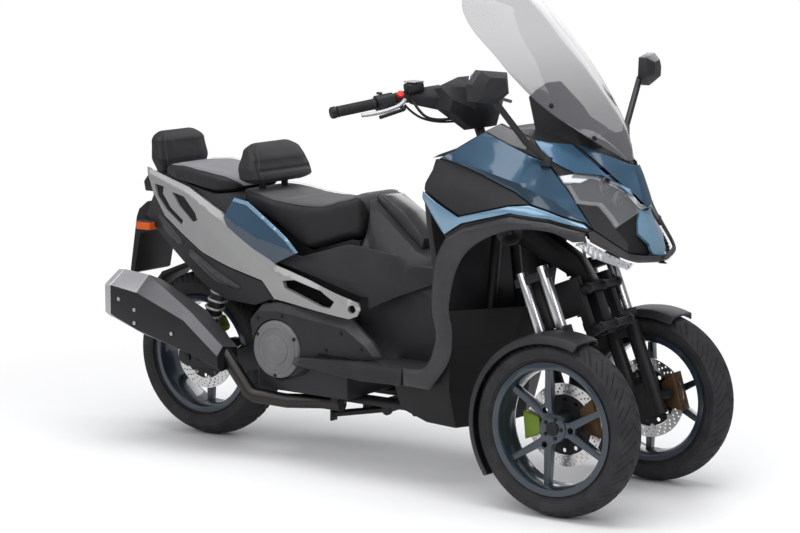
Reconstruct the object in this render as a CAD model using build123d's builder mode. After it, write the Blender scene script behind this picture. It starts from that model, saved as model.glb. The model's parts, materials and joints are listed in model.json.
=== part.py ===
from build123d import *
import os
from math import atan2, cos, degrees, hypot, radians, sin, tan

# Reverse trike: a maxi scooter that leans on two steered front wheels and one driven rear wheel.
#
# All sizes are millimetres.  +X is forward, +Y is to the rider's left and +Z is up.  The origin
# is on the ground, on the centre line, midway between the front and rear axles.

os.makedirs("parts", exist_ok=True)

# ---------------------------------------------------------------- driving dimensions
WHEELBASE = 1585            # front axle line to rear axle
TRACK = 586                 # between the front wheels' centre planes
FRONT_TYRE_R = 274.5        # 120/70-15
FRONT_TYRE_W = 120
REAR_TYRE_R = 286.5         # 160/60-15
REAR_TYRE_W = 160
RIM_BEAD_R = 190.5          # 15 inch bead seat
RIM_FLANGE_R = 204
RIM_WALL = 6
FRONT_RIM_HALF = 44.5       # between the flanges, halved
REAR_RIM_HALF = 57
HUB_R = 44
AXLE_R = 12.5
RUN_GAP = 0.3               # radial clearance of an axle or kingpin in its bore
SEAT_GAP = 0.3              # between a part and the one that it is bolted against

CASTER = 22                 # steering axes lean back, degrees
TRAIL = 75                  # steering axis ahead of the contact point, along the ground
KINGPIN_Y = TRACK / 2 - 163 # steering axis off the centre line
KINGPIN_R = 17
FORK_Y = TRACK / 2 - 95     # fork tubes off the centre line
FORK_LEAD = 20              # the pair of tubes ahead of the wheel centre, square to the axis
FORK_PITCH = 78             # between the two tubes of a pair
STANCHION_R = 18
SLIDER_R = 23

DISC_T = 4.5
FRONT_DISC_R = 128
REAR_DISC_R = 122
PAD_GAP = 1.5

SIDE_PLATE = 14             # thickness of the side frames and panels
FAIRING_WALL = 5            # thickness of the painted panels
TRIM_PROUD = 9              # the arch trim stands out of the painted panels
TRIM_T = 26
INSET_DEPTH = 5.3           # the dark inset lies back from the painted panels
SCREEN_T = 6                # windscreen, measured level
GRIP_R = 17
BAR_R = 11
DRAWN_WHEELBASE = 1585      # the wheelbase that the body's outlines are drawn for
MIDDLE = (-56, 296)         # the stretch of body that takes up any change of wheelbase

FRONT_AXLE = (WHEELBASE / 2, FRONT_TYRE_R)
REAR_AXLE = (-WHEELBASE / 2, REAR_TYRE_R)
RIGHT, LEFT = -1, 1
LEAN = radians(CASTER)


# ---------------------------------------------------------------- drawing helpers
def side_plane(y):
    """A plane seen from the right: across is forward, up is up, out is to the right."""
    return Plane(origin=(0, y, 0), x_dir=(1, 0, 0), z_dir=(0, -1, 0))


def level(z):
    """A level plane: across is forward, up the page is to the left."""
    return Plane.XY.offset(z)


def station(x):
    """A plane square to the centre line: across is to the left, up is up."""
    return Plane(origin=(x, 0, 0), x_dir=(0, 1, 0), z_dir=(1, 0, 0))


def polygon(plane, points):
    """A closed straight-sided outline."""
    with BuildSketch(plane) as drawn:
        with BuildLine():
            Polyline(*points, close=True)
        make_face()
    return drawn.sketch


def across(points, half=420):
    """A side-view outline carried right across the machine, to cut panels with."""
    with BuildPart() as block:
        extrude(polygon(side_plane(half), points), amount=2 * half)
    return block.part


def ruled(sections):
    """A solid with flat or ruled sides through outlines of equal corner count."""
    with BuildPart() as block:
        loft(sections=[polygon(plane, points) for plane, points in sections], ruled=True)
    return block.part


def mirrored(shape):
    """The shape and its mirror image in the centre plane."""
    with BuildPart() as pair:
        add(shape)
        mirror(about=Plane.XZ)
    return pair.part


def tube(points, radius, bend):
    """A round bar along straight runs joined by tangent arcs."""
    with BuildPart() as bar:
        with BuildLine() as path:
            FilletPolyline(*points, radius=bend)
        with BuildSketch(Plane(origin=path.line @ 0, z_dir=path.line % 0)):
            Circle(radius)
        sweep()
    return bar.part


def rod(start, end, radius):
    """A straight round bar between two points."""
    a, b = Vector(*start), Vector(*end)
    with BuildPart() as bar:
        with BuildSketch(Plane(origin=a, z_dir=b - a)):
            Circle(radius)
        extrude(amount=(b - a).length)
    return bar.part


def save(name, builder):
    """Labels a finished piece and writes its file."""
    builder.part.label = name
    export_step(builder.part, f"parts/{name}.step")


# ---------------------------------------------------------------- steering axes
AXIS_UP = Vector(-sin(LEAN), 0, cos(LEAN))
AXIS_AHEAD = Vector(cos(LEAN), 0, sin(LEAN))
AXIS_GROUND_X = WHEELBASE / 2 + TRAIL
# the wheel centre is this far ahead of the steering axis, and this far up along it
HUB_AHEAD = (FRONT_AXLE[0] - AXIS_GROUND_X) * cos(LEAN) + FRONT_AXLE[1] * sin(LEAN)
HUB_UP = -(FRONT_AXLE[0] - AXIS_GROUND_X) * sin(LEAN) + FRONT_AXLE[1] * cos(LEAN)
TUBES_AHEAD = [HUB_AHEAD + FORK_LEAD + end * FORK_PITCH / 2 for end in (-1, 1)]
SLIDER_LOW, SLIDER_HIGH = HUB_UP - 62, HUB_UP + 245
COLUMN_LOW, COLUMN_HIGH = SLIDER_HIGH + 45, SLIDER_HIGH + 190
CLAMP_T = 26
CLAMP_GAP = 5
COLUMN_R = 28


def on_axis(up, ahead=0.0, y=0.0):
    """The point so far up a steering axis, and ahead of it, at a given side position."""
    return Vector(AXIS_GROUND_X, y, 0) + AXIS_UP * up + AXIS_AHEAD * ahead


def axis_plane(up, side):
    """A plane square to the kingpin: across is ahead, up the page is to the left."""
    return Plane(origin=on_axis(up, 0, side * KINGPIN_Y), x_dir=AXIS_AHEAD, z_dir=AXIS_UP)


# ---------------------------------------------------------------- wheels
def wheel_ring(profile, centre, side_y):
    """A ring turned about a wheel's axle.  Profile points are (off the wheel plane, radius)."""
    turning = Plane(origin=(centre[0], side_y, centre[1]), x_dir=(0, 1, 0), z_dir=(1, 0, 0))
    with BuildPart() as ring:
        with BuildSketch(turning):
            with BuildLine():
                Polyline(*profile, close=True)
            make_face()
        revolve(axis=Axis((centre[0], side_y, centre[1]), (0, 1, 0)))
    return ring.part


def tyre(centre, y, outer, width, rim_half):
    """A tyre: round crown, bulging walls and beads that stand between the rim's flanges."""
    half, bead = width / 2, rim_half - SEAT_GAP
    middle = Plane(origin=(centre[0], y, centre[1]), x_dir=(0, 1, 0), z_dir=(1, 0, 0))
    shoulder = outer - width * 0.24
    with BuildPart() as ring:
        with BuildSketch(middle):
            with BuildLine():
                ThreePointArc((-half, shoulder), (0, outer), (half, shoulder))
                Polyline((half, shoulder), (half, shoulder - width * 0.16), (bead, RIM_FLANGE_R + 3),
                         (bead, RIM_BEAD_R + SEAT_GAP), (-bead, RIM_BEAD_R + SEAT_GAP),
                         (-bead, RIM_FLANGE_R + 3), (-half, shoulder - width * 0.16),
                         (-half, shoulder))
            make_face()
        revolve(axis=Axis((centre[0], y, centre[1]), (0, 1, 0)))
    return ring.part


SPOKE_COUNT = 3
SPOKE_SPREAD = 23           # each arm of a double spoke turns this far off its lobe, degrees
SPOKE_T = 24
LOBE_R, LOBE_HOLE_R = 60, 10


def rim(centre, y, rim_half, out):
    """A cast wheel with three forked spokes.  out is the side, -1 or 1, that the spokes face."""
    barrel_in = RIM_BEAD_R - RIM_WALL
    edge = rim_half + RIM_WALL
    barrel = [(-edge, RIM_FLANGE_R), (-rim_half, RIM_FLANGE_R), (-rim_half, RIM_BEAD_R),
              (rim_half, RIM_BEAD_R), (rim_half, RIM_FLANGE_R), (edge, RIM_FLANGE_R),
              (edge, barrel_in), (rim_half - 12, barrel_in - 7), (12 - rim_half, barrel_in - 7),
              (-edge, barrel_in)]
    face = Plane(origin=(centre[0], y + out * (SPOKE_T + 6), centre[1]), x_dir=(1, 0, 0),
                 z_dir=(0, -out, 0))
    with BuildPart() as cast:
        add(wheel_ring(barrel, centre, y))
        with BuildSketch(face) as star:
            Circle(HUB_R)
            for n in range(SPOKE_COUNT):
                turn = 360 * n / SPOKE_COUNT
                with Locations(Rotation(0, 0, turn)):
                    with Locations((LOBE_R - 10, 0)):
                        Rectangle(52, 46)
                for fork in (-SPOKE_SPREAD, SPOKE_SPREAD):
                    root = radians(turn + fork * 0.55)
                    tip = radians(turn + fork)
                    foot = (LOBE_R * 1.05 * cos(root), LOBE_R * 1.05 * sin(root))
                    head = ((barrel_in - 4) * cos(tip), (barrel_in - 4) * sin(tip))
                    angle = degrees(atan2(head[1] - foot[1], head[0] - foot[0]))
                    with Locations(Location(foot, angle)):
                        Polygon((-12, -13), (hypot(head[0] - foot[0], head[1] - foot[1]), -8.5),
                                (hypot(head[0] - foot[0], head[1] - foot[1]), 8.5), (-12, 13),
                                align=None)
            for n in range(SPOKE_COUNT):
                turn = radians(360 * n / SPOKE_COUNT)
                with Locations((LOBE_R * cos(turn), LOBE_R * sin(turn))):
                    Circle(LOBE_HOLE_R, mode=Mode.SUBTRACT)
        extrude(amount=SPOKE_T)
        with BuildSketch(Plane(origin=(centre[0], y + out * 34, centre[1]), x_dir=(1, 0, 0),
                               z_dir=(0, -out, 0))):
            Circle(HUB_R)
        extrude(amount=34 + DISC_FACE)
        with BuildSketch(Plane(origin=(centre[0], y - 100, centre[1]), x_dir=(1, 0, 0),
                               z_dir=(0, 1, 0))):
            Circle(AXLE_R + RUN_GAP)
        extrude(amount=200, mode=Mode.SUBTRACT)
    return cast.part


DISC_FACE = 36              # the hub's inner face, where the brake disc is bolted
DISC_WINDOWS = 6


def brake_disc(centre, y, radius, inward):
    """A floating brake disc on the hub's inner face.  inward is the side it lies towards."""
    face = Plane(origin=(centre[0], y + inward * (DISC_FACE + SEAT_GAP), centre[1]),
                 x_dir=(1, 0, 0), z_dir=(0, inward, 0))
    with BuildPart() as disc:
        with BuildSketch(face):
            Circle(radius)
            Circle(AXLE_R + 8, mode=Mode.SUBTRACT)
            with PolarLocations(radius * 0.53, DISC_WINDOWS):
                SlotOverall(34, 22, rotation=90, mode=Mode.SUBTRACT)
        extrude(amount=DISC_T)
    return disc.part


# ---------------------------------------------------------------- front suspension
CALIPER_R_IN, CALIPER_R_OUT = 82, 142
DISC_Y = TRACK / 2 - DISC_FACE - SEAT_GAP - DISC_T / 2      # disc's middle, off the centre line
ARM_PIVOT_Y = KINGPIN_Y - 42                                # tilt arm's end pivots
ARM_AHEAD = 150                                             # tilt arms ahead of the kingpins
ARM_LEVELS = (COLUMN_LOW - 40, COLUMN_HIGH - 60)
ARM_BOSS_R = 17
ARM_T = 26


def fork_tubes(side):
    """The two bright inner tubes of one wheel's fork."""
    with BuildPart() as pair:
        for ahead in TUBES_AHEAD:
            add(rod(on_axis(SLIDER_HIGH + SEAT_GAP, ahead, side * FORK_Y),
                    on_axis(COLUMN_HIGH + CLAMP_GAP + CLAMP_T + 14, ahead, side * FORK_Y),
                    STANCHION_R))
    return pair.part


def fork_clamp(up, side):
    """A plate that holds both fork tubes to the kingpin."""
    out = side * (FORK_Y - KINGPIN_Y)
    ears = [(TUBES_AHEAD[0] - 26, out + side * 14), (TUBES_AHEAD[1] + 26, out + side * 14),
            (TUBES_AHEAD[1] + 26, out - side * 18), (24, -side * 26), (-26, -side * 22),
            (-26, side * 20)]
    with BuildPart() as plate:
        extrude(polygon(axis_plane(up, side), ears), amount=CLAMP_T)
        for ahead in TUBES_AHEAD:
            with BuildSketch(axis_plane(up - 1, side)):
                with Locations((ahead, out)):
                    Circle(STANCHION_R + SEAT_GAP)
            extrude(amount=CLAMP_T + 2, mode=Mode.SUBTRACT)
    return plate.part


def upright(side):
    """One wheel's fork: clamps, kingpin, lower legs, axle carrier and axle."""
    hub = Vector(FRONT_AXLE[0], side * TRACK / 2, FRONT_AXLE[1])
    inner = side * (FORK_Y - SLIDER_R)
    axle_end = side * (TRACK / 2 + 30)
    with BuildPart() as leg:
        add(fork_clamp(COLUMN_HIGH + CLAMP_GAP, side))
        add(fork_clamp(COLUMN_LOW - CLAMP_GAP - CLAMP_T, side))
        add(rod(on_axis(COLUMN_LOW - CLAMP_GAP - CLAMP_T, 0, side * KINGPIN_Y),
                on_axis(COLUMN_HIGH + CLAMP_GAP + CLAMP_T, 0, side * KINGPIN_Y), KINGPIN_R))
        for ahead in TUBES_AHEAD:
            add(rod(on_axis(SLIDER_LOW, ahead, side * FORK_Y),
                    on_axis(SLIDER_HIGH, ahead, side * FORK_Y), SLIDER_R))
        for low, high in ((SLIDER_LOW, SLIDER_LOW + 110), (SLIDER_HIGH - 42, SLIDER_HIGH - 8)):
            plate = [(TUBES_AHEAD[0] - 4, low), (TUBES_AHEAD[1] + 4, low),
                     (TUBES_AHEAD[1] + 4, high), (TUBES_AHEAD[0] - 4, high)]
            web = Plane(origin=on_axis(0, 0, inner + side * 4), x_dir=AXIS_AHEAD,
                        z_dir=AXIS_AHEAD.cross(AXIS_UP))
            extrude(polygon(web, plate), amount=-side * 34)
        add(rod((hub.X, inner + side * 8, hub.Z), (hub.X, axle_end, hub.Z), AXLE_R))
        add(rod((hub.X, inner + side * 8, hub.Z),
                (hub.X, side * (DISC_Y - DISC_T / 2 - 6), hub.Z), AXLE_R + 12))
        for mid, half_arc in CALIPERS:
            lug_y = side * (FORK_Y + SLIDER_R - CALIPER_LUG_R)
            add(rod((hub.X + 20 * cos(radians(mid)), lug_y, hub.Z + 20 * sin(radians(mid))),
                    (hub.X + CALIPER_R_OUT * 0.8 * cos(radians(mid)), lug_y,
                     hub.Z + CALIPER_R_OUT * 0.8 * sin(radians(mid))), CALIPER_LUG_R))
        add(rod(on_axis(SLIDER_HIGH - 26, TUBES_AHEAD[0] + 34, side * (FORK_Y + 4)),
                on_axis(SLIDER_HIGH + 24, TUBES_AHEAD[0] + 34, side * (FORK_Y + 26)), 9))
        add(mudguard(side), mode=Mode.SUBTRACT)
    return leg.part


# middle of each caliper and half its arc, degrees round from straight ahead
CALIPERS = ((17, 26), (186, 18))
CALIPER_LUG_R = 15


def calipers(side):
    """The two brake calipers of a front wheel: a main one ahead and a small one behind."""
    hub_x, hub_z = FRONT_AXLE
    with BuildPart() as pair:
        for mid, half_arc in CALIPERS:
            steps = (-half_arc, half_arc)
            outer = [(hub_x + CALIPER_R_OUT * cos(radians(mid + s)),
                      hub_z + CALIPER_R_OUT * sin(radians(mid + s))) for s in steps]
            inner = [(hub_x + CALIPER_R_IN * cos(radians(mid + s)),
                      hub_z + CALIPER_R_IN * sin(radians(mid + s))) for s in reversed(steps)]
            near = side * (FORK_Y + SLIDER_R + SEAT_GAP)
            far = side * (DISC_Y + DISC_T / 2 + PAD_GAP + 16)
            extrude(polygon(side_plane(near), outer + inner), amount=-(far - near))
        with BuildSketch(Plane(origin=(hub_x, side * (DISC_Y - DISC_T / 2 - PAD_GAP), hub_z),
                               x_dir=(1, 0, 0), z_dir=(0, side, 0))):
            Circle(FRONT_DISC_R + 5)
        extrude(amount=DISC_T + 2 * PAD_GAP, mode=Mode.SUBTRACT)
    return pair.part


GUARD_R = FRONT_TYRE_R + 8.5        # mudguard's inside over the middle of the tread
GUARD_T = 5
GUARD_HALF = 68
GUARD_FROM, GUARD_TO = 70, 217      # degrees round from straight ahead


def mudguard(side):
    """A mudguard that follows the tread from ahead of the top to low behind the tyre."""
    y = side * TRACK / 2
    centre = Plane(origin=(FRONT_AXLE[0], y, FRONT_AXLE[1]), x_dir=(0, 1, 0), z_dir=(1, 0, 0))
    section = [(-GUARD_HALF, GUARD_R - 22), (-GUARD_HALF + 14, GUARD_R - 4), (-30, GUARD_R),
               (30, GUARD_R), (GUARD_HALF - 14, GUARD_R - 4), (GUARD_HALF, GUARD_R - 22),
               (GUARD_HALF + GUARD_T, GUARD_R - 20), (GUARD_HALF - 10, GUARD_R + GUARD_T - 2),
               (30, GUARD_R + GUARD_T + 2), (-30, GUARD_R + GUARD_T + 2),
               (-GUARD_HALF + 10, GUARD_R + GUARD_T - 2), (-GUARD_HALF - GUARD_T, GUARD_R - 20)]
    with BuildPart() as guard:
        with BuildSketch(centre):
            with BuildLine():
                Polyline(*section, close=True)
            make_face()
        revolve(axis=Axis((FRONT_AXLE[0], y, FRONT_AXLE[1]), (0, -1, 0)),
                revolution_arc=GUARD_TO - GUARD_FROM)
    return guard.part.rotate(Axis((FRONT_AXLE[0], y, FRONT_AXLE[1]), (0, -1, 0)), GUARD_FROM - 90)


# ---------------------------------------------------------------- wheels, one loop
# name, centre in side view, side position, tyre radius, tyre width, rim half width,
# brake disc radius, side that the spokes face
WHEELS = [
    ("front_right", FRONT_AXLE, -TRACK / 2, FRONT_TYRE_R, FRONT_TYRE_W, FRONT_RIM_HALF,
     FRONT_DISC_R, RIGHT),
    ("front_left", FRONT_AXLE, TRACK / 2, FRONT_TYRE_R, FRONT_TYRE_W, FRONT_RIM_HALF,
     FRONT_DISC_R, LEFT),
    ("rear", REAR_AXLE, 0, REAR_TYRE_R, REAR_TYRE_W, REAR_RIM_HALF, REAR_DISC_R, LEFT),
]
for name, centre, y, radius, width, rim_half, disc_r, out in WHEELS:
    with BuildPart() as tyre_piece:
        add(tyre(centre, y, radius, width, rim_half))
    save(f"tyre_{name}", tyre_piece)
    with BuildPart() as rim_piece:
        add(rim(centre, y, rim_half, out))
    save(f"rim_{name}", rim_piece)
    with BuildPart() as disc_piece:
        add(brake_disc(centre, y, disc_r, -out))
    save(f"disc_{name}", disc_piece)

for side, word in ((RIGHT, "right"), (LEFT, "left")):
    for name, maker in (("fork_tubes", fork_tubes), ("upright", upright),
                        ("calipers", calipers), ("mudguard", mudguard)):
        with BuildPart() as fork_piece:
            add(maker(side))
        save(f"{name}_{word}", fork_piece)


# ---------------------------------------------------------------- bodywork tools
def fore(x):
    """A forward place on the body.  Each end keeps its distance from its own axle."""
    share = (x - MIDDLE[0]) / (MIDDLE[1] - MIDDLE[0])
    return x + (WHEELBASE - DRAWN_WHEELBASE) * (min(max(share, 0), 1) - 0.5)


def placed(points):
    """Points of the body, side view or solid, moved to suit the wheelbase."""
    return [(fore(x), *rest) for x, *rest in points]


def bar(start, end, radius):
    """A straight round bar between two points of the body."""
    return rod(*placed([start, end]), radius)


def bent_bar(points, radius, bend):
    """A round bar bent through points of the body."""
    return tube(placed(points), radius, bend)


def offset_line(points, out):
    """An open line moved square to itself.  Positive is to the line's right hand."""
    moved = []
    for n, (x, y) in enumerate(points):
        legs = [(points[m + 1][0] - points[m][0], points[m + 1][1] - points[m][1])
                for m in (n - 1, n) if 0 <= m < len(points) - 1]
        normals = [(dy / hypot(dx, dy), -dx / hypot(dx, dy)) for dx, dy in legs]
        nx, ny = sum(v[0] for v in normals), sum(v[1] for v in normals)
        scale = out * len(normals) / (nx * nx + ny * ny)
        moved.append((x + nx * scale, y + ny * scale))
    return moved


def right_line(points):
    """A table row of (forward, half width) as a line down the right-hand side, rear first."""
    return [(fore(x), -half) for x, half in points]


def round_line(points):
    """The same row carried round the front and back along the left-hand side."""
    return right_line(points) + [(x, -half) for x, half in reversed(right_line(points))]


def side_walls(table, out, thickness):
    """Walls of even thickness on both sides.  Table rows are height and (forward, half width)."""
    sections = []
    for z, row in table:
        line = right_line(row)
        outer = offset_line(line, out)
        inner = offset_line(line, out - thickness)
        sections.append((level(z), outer + inner[::-1]))
    return mirrored(ruled(sections))


def round_wall(table, out, thickness):
    """A wall of even thickness along both sides and round the front."""
    sections = []
    for z, row in table:
        line = round_line(row)
        outer = offset_line(line, out)
        inner = offset_line(line, out - thickness)
        sections.append((level(z), outer + inner[::-1]))
    return ruled(sections)


def core(table, inset):
    """All that lies inside the walls, less an inset."""
    return ruled([(level(z), offset_line(round_line(row), -inset)) for z, row in table])


def symmetric(sections):
    """A solid through side-view outlines, listed from the outermost to the innermost."""
    right = [(side_plane(-half), placed(outline)) for half, outline in sections]
    left = [(side_plane(half), placed(outline)) for half, outline in reversed(sections)]
    return ruled(right + left)


def cut_out(shape, *outlines):
    """The part of a shape that lies within a side-view outline, less any further outlines."""
    with BuildPart() as piece:
        add(shape)
        add(across(placed(outlines[0])), mode=Mode.INTERSECT)
        for hole in outlines[1:]:
            add(across(placed(hole)), mode=Mode.SUBTRACT)
    return piece.part


def bored(shape, x, z, radius):
    """A shape with a round hole right across it."""
    with BuildPart() as piece:
        add(shape)
        with BuildSketch(side_plane(420)):
            with Locations((fore(x), z)):
                Circle(radius)
        extrude(amount=840, mode=Mode.SUBTRACT)
    return piece.part


def piece_of(name, *shapes, less=()):
    """Saves the union of some shapes, less others, as one named piece."""
    with BuildPart() as piece:
        for shape in shapes:
            add(shape)
        for shape in less:
            add(shape, mode=Mode.SUBTRACT)
    save(name, piece)
    return piece.part


# ---------------------------------------------------------------- body tables
# Each row is a height and the (forward, half width) of five or six corners, rear first.
FAIRING = [
    (730, [(290, 290), (400, 300), (630, 300), (800, 240), (925, 130), (958, 40)]),
    (790, [(290, 300), (400, 318), (640, 318), (800, 262), (932, 140), (966, 40)]),
    (850, [(290, 310), (400, 332), (640, 328), (795, 262), (912, 125), (946, 35)]),
    (910, [(290, 318), (400, 337), (640, 330), (790, 245), (882, 105), (924, 30)]),
    (970, [(290, 315), (400, 328), (645, 302), (785, 208), (850, 98), (908, 22)]),
    (1060, [(290, 300), (420, 296), (640, 268), (715, 225), (785, 95), (868, 16)]),
    (1180, [(290, 275), (450, 262), (560, 236), (625, 196), (690, 88), (760, 14)]),
]
FLANK = [
    (310, [(190, 280), (300, 292), (420, 296), (640, 296), (860, 210)]),
    (500, [(190, 290), (300, 304), (420, 308), (640, 306), (860, 215)]),
    (740, [(190, 290), (300, 306), (420, 314), (640, 312), (860, 218)]),
    (850, [(190, 300), (300, 312), (420, 330), (640, 326), (860, 212)]),
    (930, [(190, 300), (300, 312), (420, 334), (640, 326), (860, 195)]),
]
TAIL = [
    (480, [(-1020, 120), (-800, 166), (-600, 200), (-350, 222), (40, 232)]),
    (700, [(-1020, 108), (-800, 156), (-600, 195), (-350, 215), (40, 226)]),
    (940, [(-1020, 94), (-800, 140), (-600, 182), (-350, 203), (40, 214)]),
]
WAIST = [
    (500, [(-430, 206), (-200, 214), (20, 216), (130, 190), (275, 150)]),
    (620, [(-430, 200), (-200, 204), (20, 190), (130, 165), (275, 148)]),
    (770, [(-430, 180), (-200, 166), (20, 142), (130, 138), (275, 138)]),
]
LINER = [
    (205, [(100, 178), (240, 205), (376, 226), (436, 84), (452, 60)]),
    (330, [(100, 236), (240, 262), (384, 276), (452, 80), (468, 60)]),
    (470, [(100, 250), (240, 276), (390, 286), (480, 74), (496, 58)]),
    (590, [(100, 250), (240, 276), (390, 286), (536, 70), (556, 56)]),
]

# ---------------------------------------------------------------- front bodywork
# Corners where panels meet, in side view.  Neighbouring outlines share them.
SIDE_TOP = (499, 1147)
SIDE_NOSE = [(706, 1062), (736, 1026)]
LAMP_REAR, LAMP_LOW, LAMP_FOOT, LAMP_TIP = (799, 943), (841, 933), (892, 868), (926, 920)
LAMP_TOP = [(766, 1030), (807, 1022), (884, 978)]
CHEEK_LOW, CHEEK_FRONT, CHEEK_FOOT = (849, 866), (930, 822), (935, 796)
ARCH_TOP = [(398, 818), (470, 859), (635, 903), (746, 888), (838, 861)]
BEAK_TOP, BEAK_LOW = (985, 885), (992, 770)
CHIN_FRONT, CHIN_STRIP, CHIN_REAR = (992, 736), (946, 762), (846, 832)
ARCH_FRONT = (812, 830)
INSET_REAR = [(312, 958), (313, 980), (352, 1056)]

INSET = INSET_REAR + [(411, 1052), (515, 1020), (634, 974), (686, 941), (626, 934), (455, 890)]
BLUE_SIDE = ([(308, 938)] + INSET_REAR[:2] + [(352, 1062), (411, 1086), SIDE_TOP] + SIDE_NOSE
             + [LAMP_REAR, CHEEK_LOW] + ARCH_TOP[::-1])
ARCH_BAND = (ARCH_TOP[::-1] + [(352, 740), (340, 600), (372, 490), (312, 392), (214, 388),
                               (214, 330), (322, 332), (414, 492), (402, 612), (438, 736),
                               (517, 808), (636, 864), (746, 860), ARCH_FRONT, CHIN_REAR])
NOSE_TOP = [(650, 1128), (880, 1048), (945, 975), LAMP_TIP] + LAMP_TOP[::-1] + [(702, 1072)]
LAMP = [SIDE_NOSE[1]] + LAMP_TOP + [LAMP_TIP, LAMP_FOOT, LAMP_LOW, LAMP_REAR]
CHEEK = [LAMP_REAR, LAMP_LOW, LAMP_FOOT, CHEEK_FRONT, CHEEK_FOOT, CHEEK_LOW]
BEAK = [LAMP_FOOT, LAMP_TIP, BEAK_TOP, BEAK_LOW, CHEEK_FOOT, CHEEK_FRONT]
CHIN = [CHEEK_LOW, CHEEK_FOOT, BEAK_LOW, CHIN_FRONT, CHIN_STRIP, CHIN_REAR, ARCH_TOP[-1]]
STRIP = [CHIN_REAR, CHIN_STRIP, (932, 740), (852, 788), ARCH_FRONT]
MIRROR_PANEL = [SIDE_TOP, (545, 1172), (650, 1128), (702, 1072), LAMP_TOP[0]] + SIDE_NOSE[::-1]
DASH = [(330, 1058), (352, 1070), (411, 1092), (505, 1152), (640, 1124), (862, 1050), (852, 1032),
        (700, 1060), (640, 1090), (505, 1128), (418, 1074)]

STEM_TOP = (262, 1236)      # the handlebar's middle, on its steering axis
STEM_R = 16


def on_stem(z, y=0.0):
    """The point on the handlebar's steering axis at a given height."""
    return Vector(fore(STEM_TOP[0]) + (STEM_TOP[1] - z) * tan(LEAN), y, z)


fairing_shell = round_wall(FAIRING, 0, FAIRING_WALL)
fairing_sides = piece_of("fairing_sides", cut_out(fairing_shell, BLUE_SIDE, INSET))
piece_of("fairing_insets", cut_out(round_wall(FAIRING, -INSET_DEPTH, FAIRING_WALL),
                                   INSET))
arch_trims = piece_of("arch_trims", cut_out(side_walls(FLANK, TRIM_PROUD, TRIM_T), ARCH_BAND))
nose_cowl = piece_of("nose_cowl", cut_out(fairing_shell, NOSE_TOP), cut_out(fairing_shell, BEAK))
piece_of("headlamps", cut_out(round_wall(FAIRING, -2, 26), LAMP))
piece_of("nose_cheeks", cut_out(round_wall(FAIRING, -2, 12), CHEEK),
         cut_out(round_wall(FAIRING, 2, 26), CHIN))
piece_of("front_indicators", cut_out(round_wall(FAIRING, -3, 20), STRIP))
SHROUD_R = STEM_R + 18      # the hole that the steering column comes up through
SCREEN_BASE = [(560, 1124), (740, 1060), (700, 1140), (640, 1205), (560, 1265), (530, 1240)]
SCREEN_BASE_MID = [(560, 1124), (760, 1052), (724, 1138), (664, 1212), (580, 1285), (530, 1250)]
dash = piece_of("dash", cut_out(core(FAIRING, FAIRING_WALL + SEAT_GAP), DASH),
                cut_out(round_wall(FAIRING, 0, 8), MIRROR_PANEL),
                symmetric([(64, SCREEN_BASE), (42, SCREEN_BASE_MID)]),
                less=[rod(on_stem(960), on_stem(1160), SHROUD_R), nose_cowl])

FLOOR_Z, FLOOR_T = 384, 14
LEG_SHIELD = [(296, FLOOR_Z + SEAT_GAP), (312, 410), (338, 470), (346, 600), (322, 760), (300, 930),
              (328, 1052), (350, 1050), (320, 932), (342, 764), (366, 600), (358, 466),
              (312, FLOOR_Z + SEAT_GAP)]
UPPER_FLANK = (1060, [(190, 290), (300, 290), (420, 288), (640, 280), (860, 190)])
TUNNEL_LOW = FLOOR_Z - FLOOR_T
TUNNEL_HALF = 138
TUNNEL_REAR = -58
TUNNEL_TOP = [(TUNNEL_REAR + 2, 880), (128, 728)]
tunnel = symmetric([
    (TUNNEL_HALF, [(TUNNEL_REAR, 560), (TUNNEL_REAR, 716), (40, 700), (128, 640), (200, 600), (250, 580),
           (290, 540), (306, 500), (300, 460), (290, TUNNEL_LOW), (TUNNEL_REAR, TUNNEL_LOW)]),
    (92, [(TUNNEL_REAR, 700), (TUNNEL_REAR + 2, 862), TUNNEL_TOP[0], TUNNEL_TOP[1], (180, 706),
          (300, 690), (330, 640), (345, 600), (330, 470), (300, TUNNEL_LOW),
          (TUNNEL_REAR, TUNNEL_LOW)])])
piece_of("leg_shield", cut_out(core(FLANK + [UPPER_FLANK], TRIM_T - TRIM_PROUD + SEAT_GAP),
                               LEG_SHIELD), less=[tunnel, rod(on_stem(900), on_stem(1160), SHROUD_R)])
LINER_SIDE = [(150, 236), (254, 205), (480, 205), (580, 586), (374, 586), (368, 468),
              (320, FLOOR_Z - FLOOR_T - SEAT_GAP), (150, FLOOR_Z - FLOOR_T - SEAT_GAP)]

LIP_IN = 246
FLOOR_REAR, FLOOR_FRONT, FLOOR_KNEE = fore(90), fore(296), fore(212)
FLOOR_IN = TUNNEL_HALF + SEAT_GAP
# forward, then the lip's section: inner top, inner foot, outer foot, outer edge, outer top
LIP = [
    (-232, [(-LIP_IN, 366), (-LIP_IN, 352), (-264, 340), (-272, 346), (-264, 368)]),
    (40, [(-LIP_IN, 382), (-LIP_IN, 336), (-270, 322), (-292, 330), (-284, 380)]),
    (212, [(-LIP_IN, FLOOR_Z), (-LIP_IN, 344), (-270, 326), (-294, 334), (-288, FLOOR_Z)]),
]
with BuildPart() as board:
    add(ruled([(station(fore(x)), section) for x, section in LIP]))
    with BuildSketch(level(FLOOR_Z - FLOOR_T)):
        with BuildLine():
            Polyline((FLOOR_REAR, -FLOOR_IN), (FLOOR_FRONT, -FLOOR_IN), (FLOOR_FRONT, -LIP_IN - 30),
                     (FLOOR_KNEE, -LIP_IN - 30), (FLOOR_REAR, -LIP_IN), close=True)
        make_face()
    extrude(amount=FLOOR_T)
footboards = piece_of("footboards", mirrored(board.part), less=[arch_trims])
piece_of("front_liner", cut_out(round_wall(LINER, 0, 6), LINER_SIDE), less=[footboards])

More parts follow.
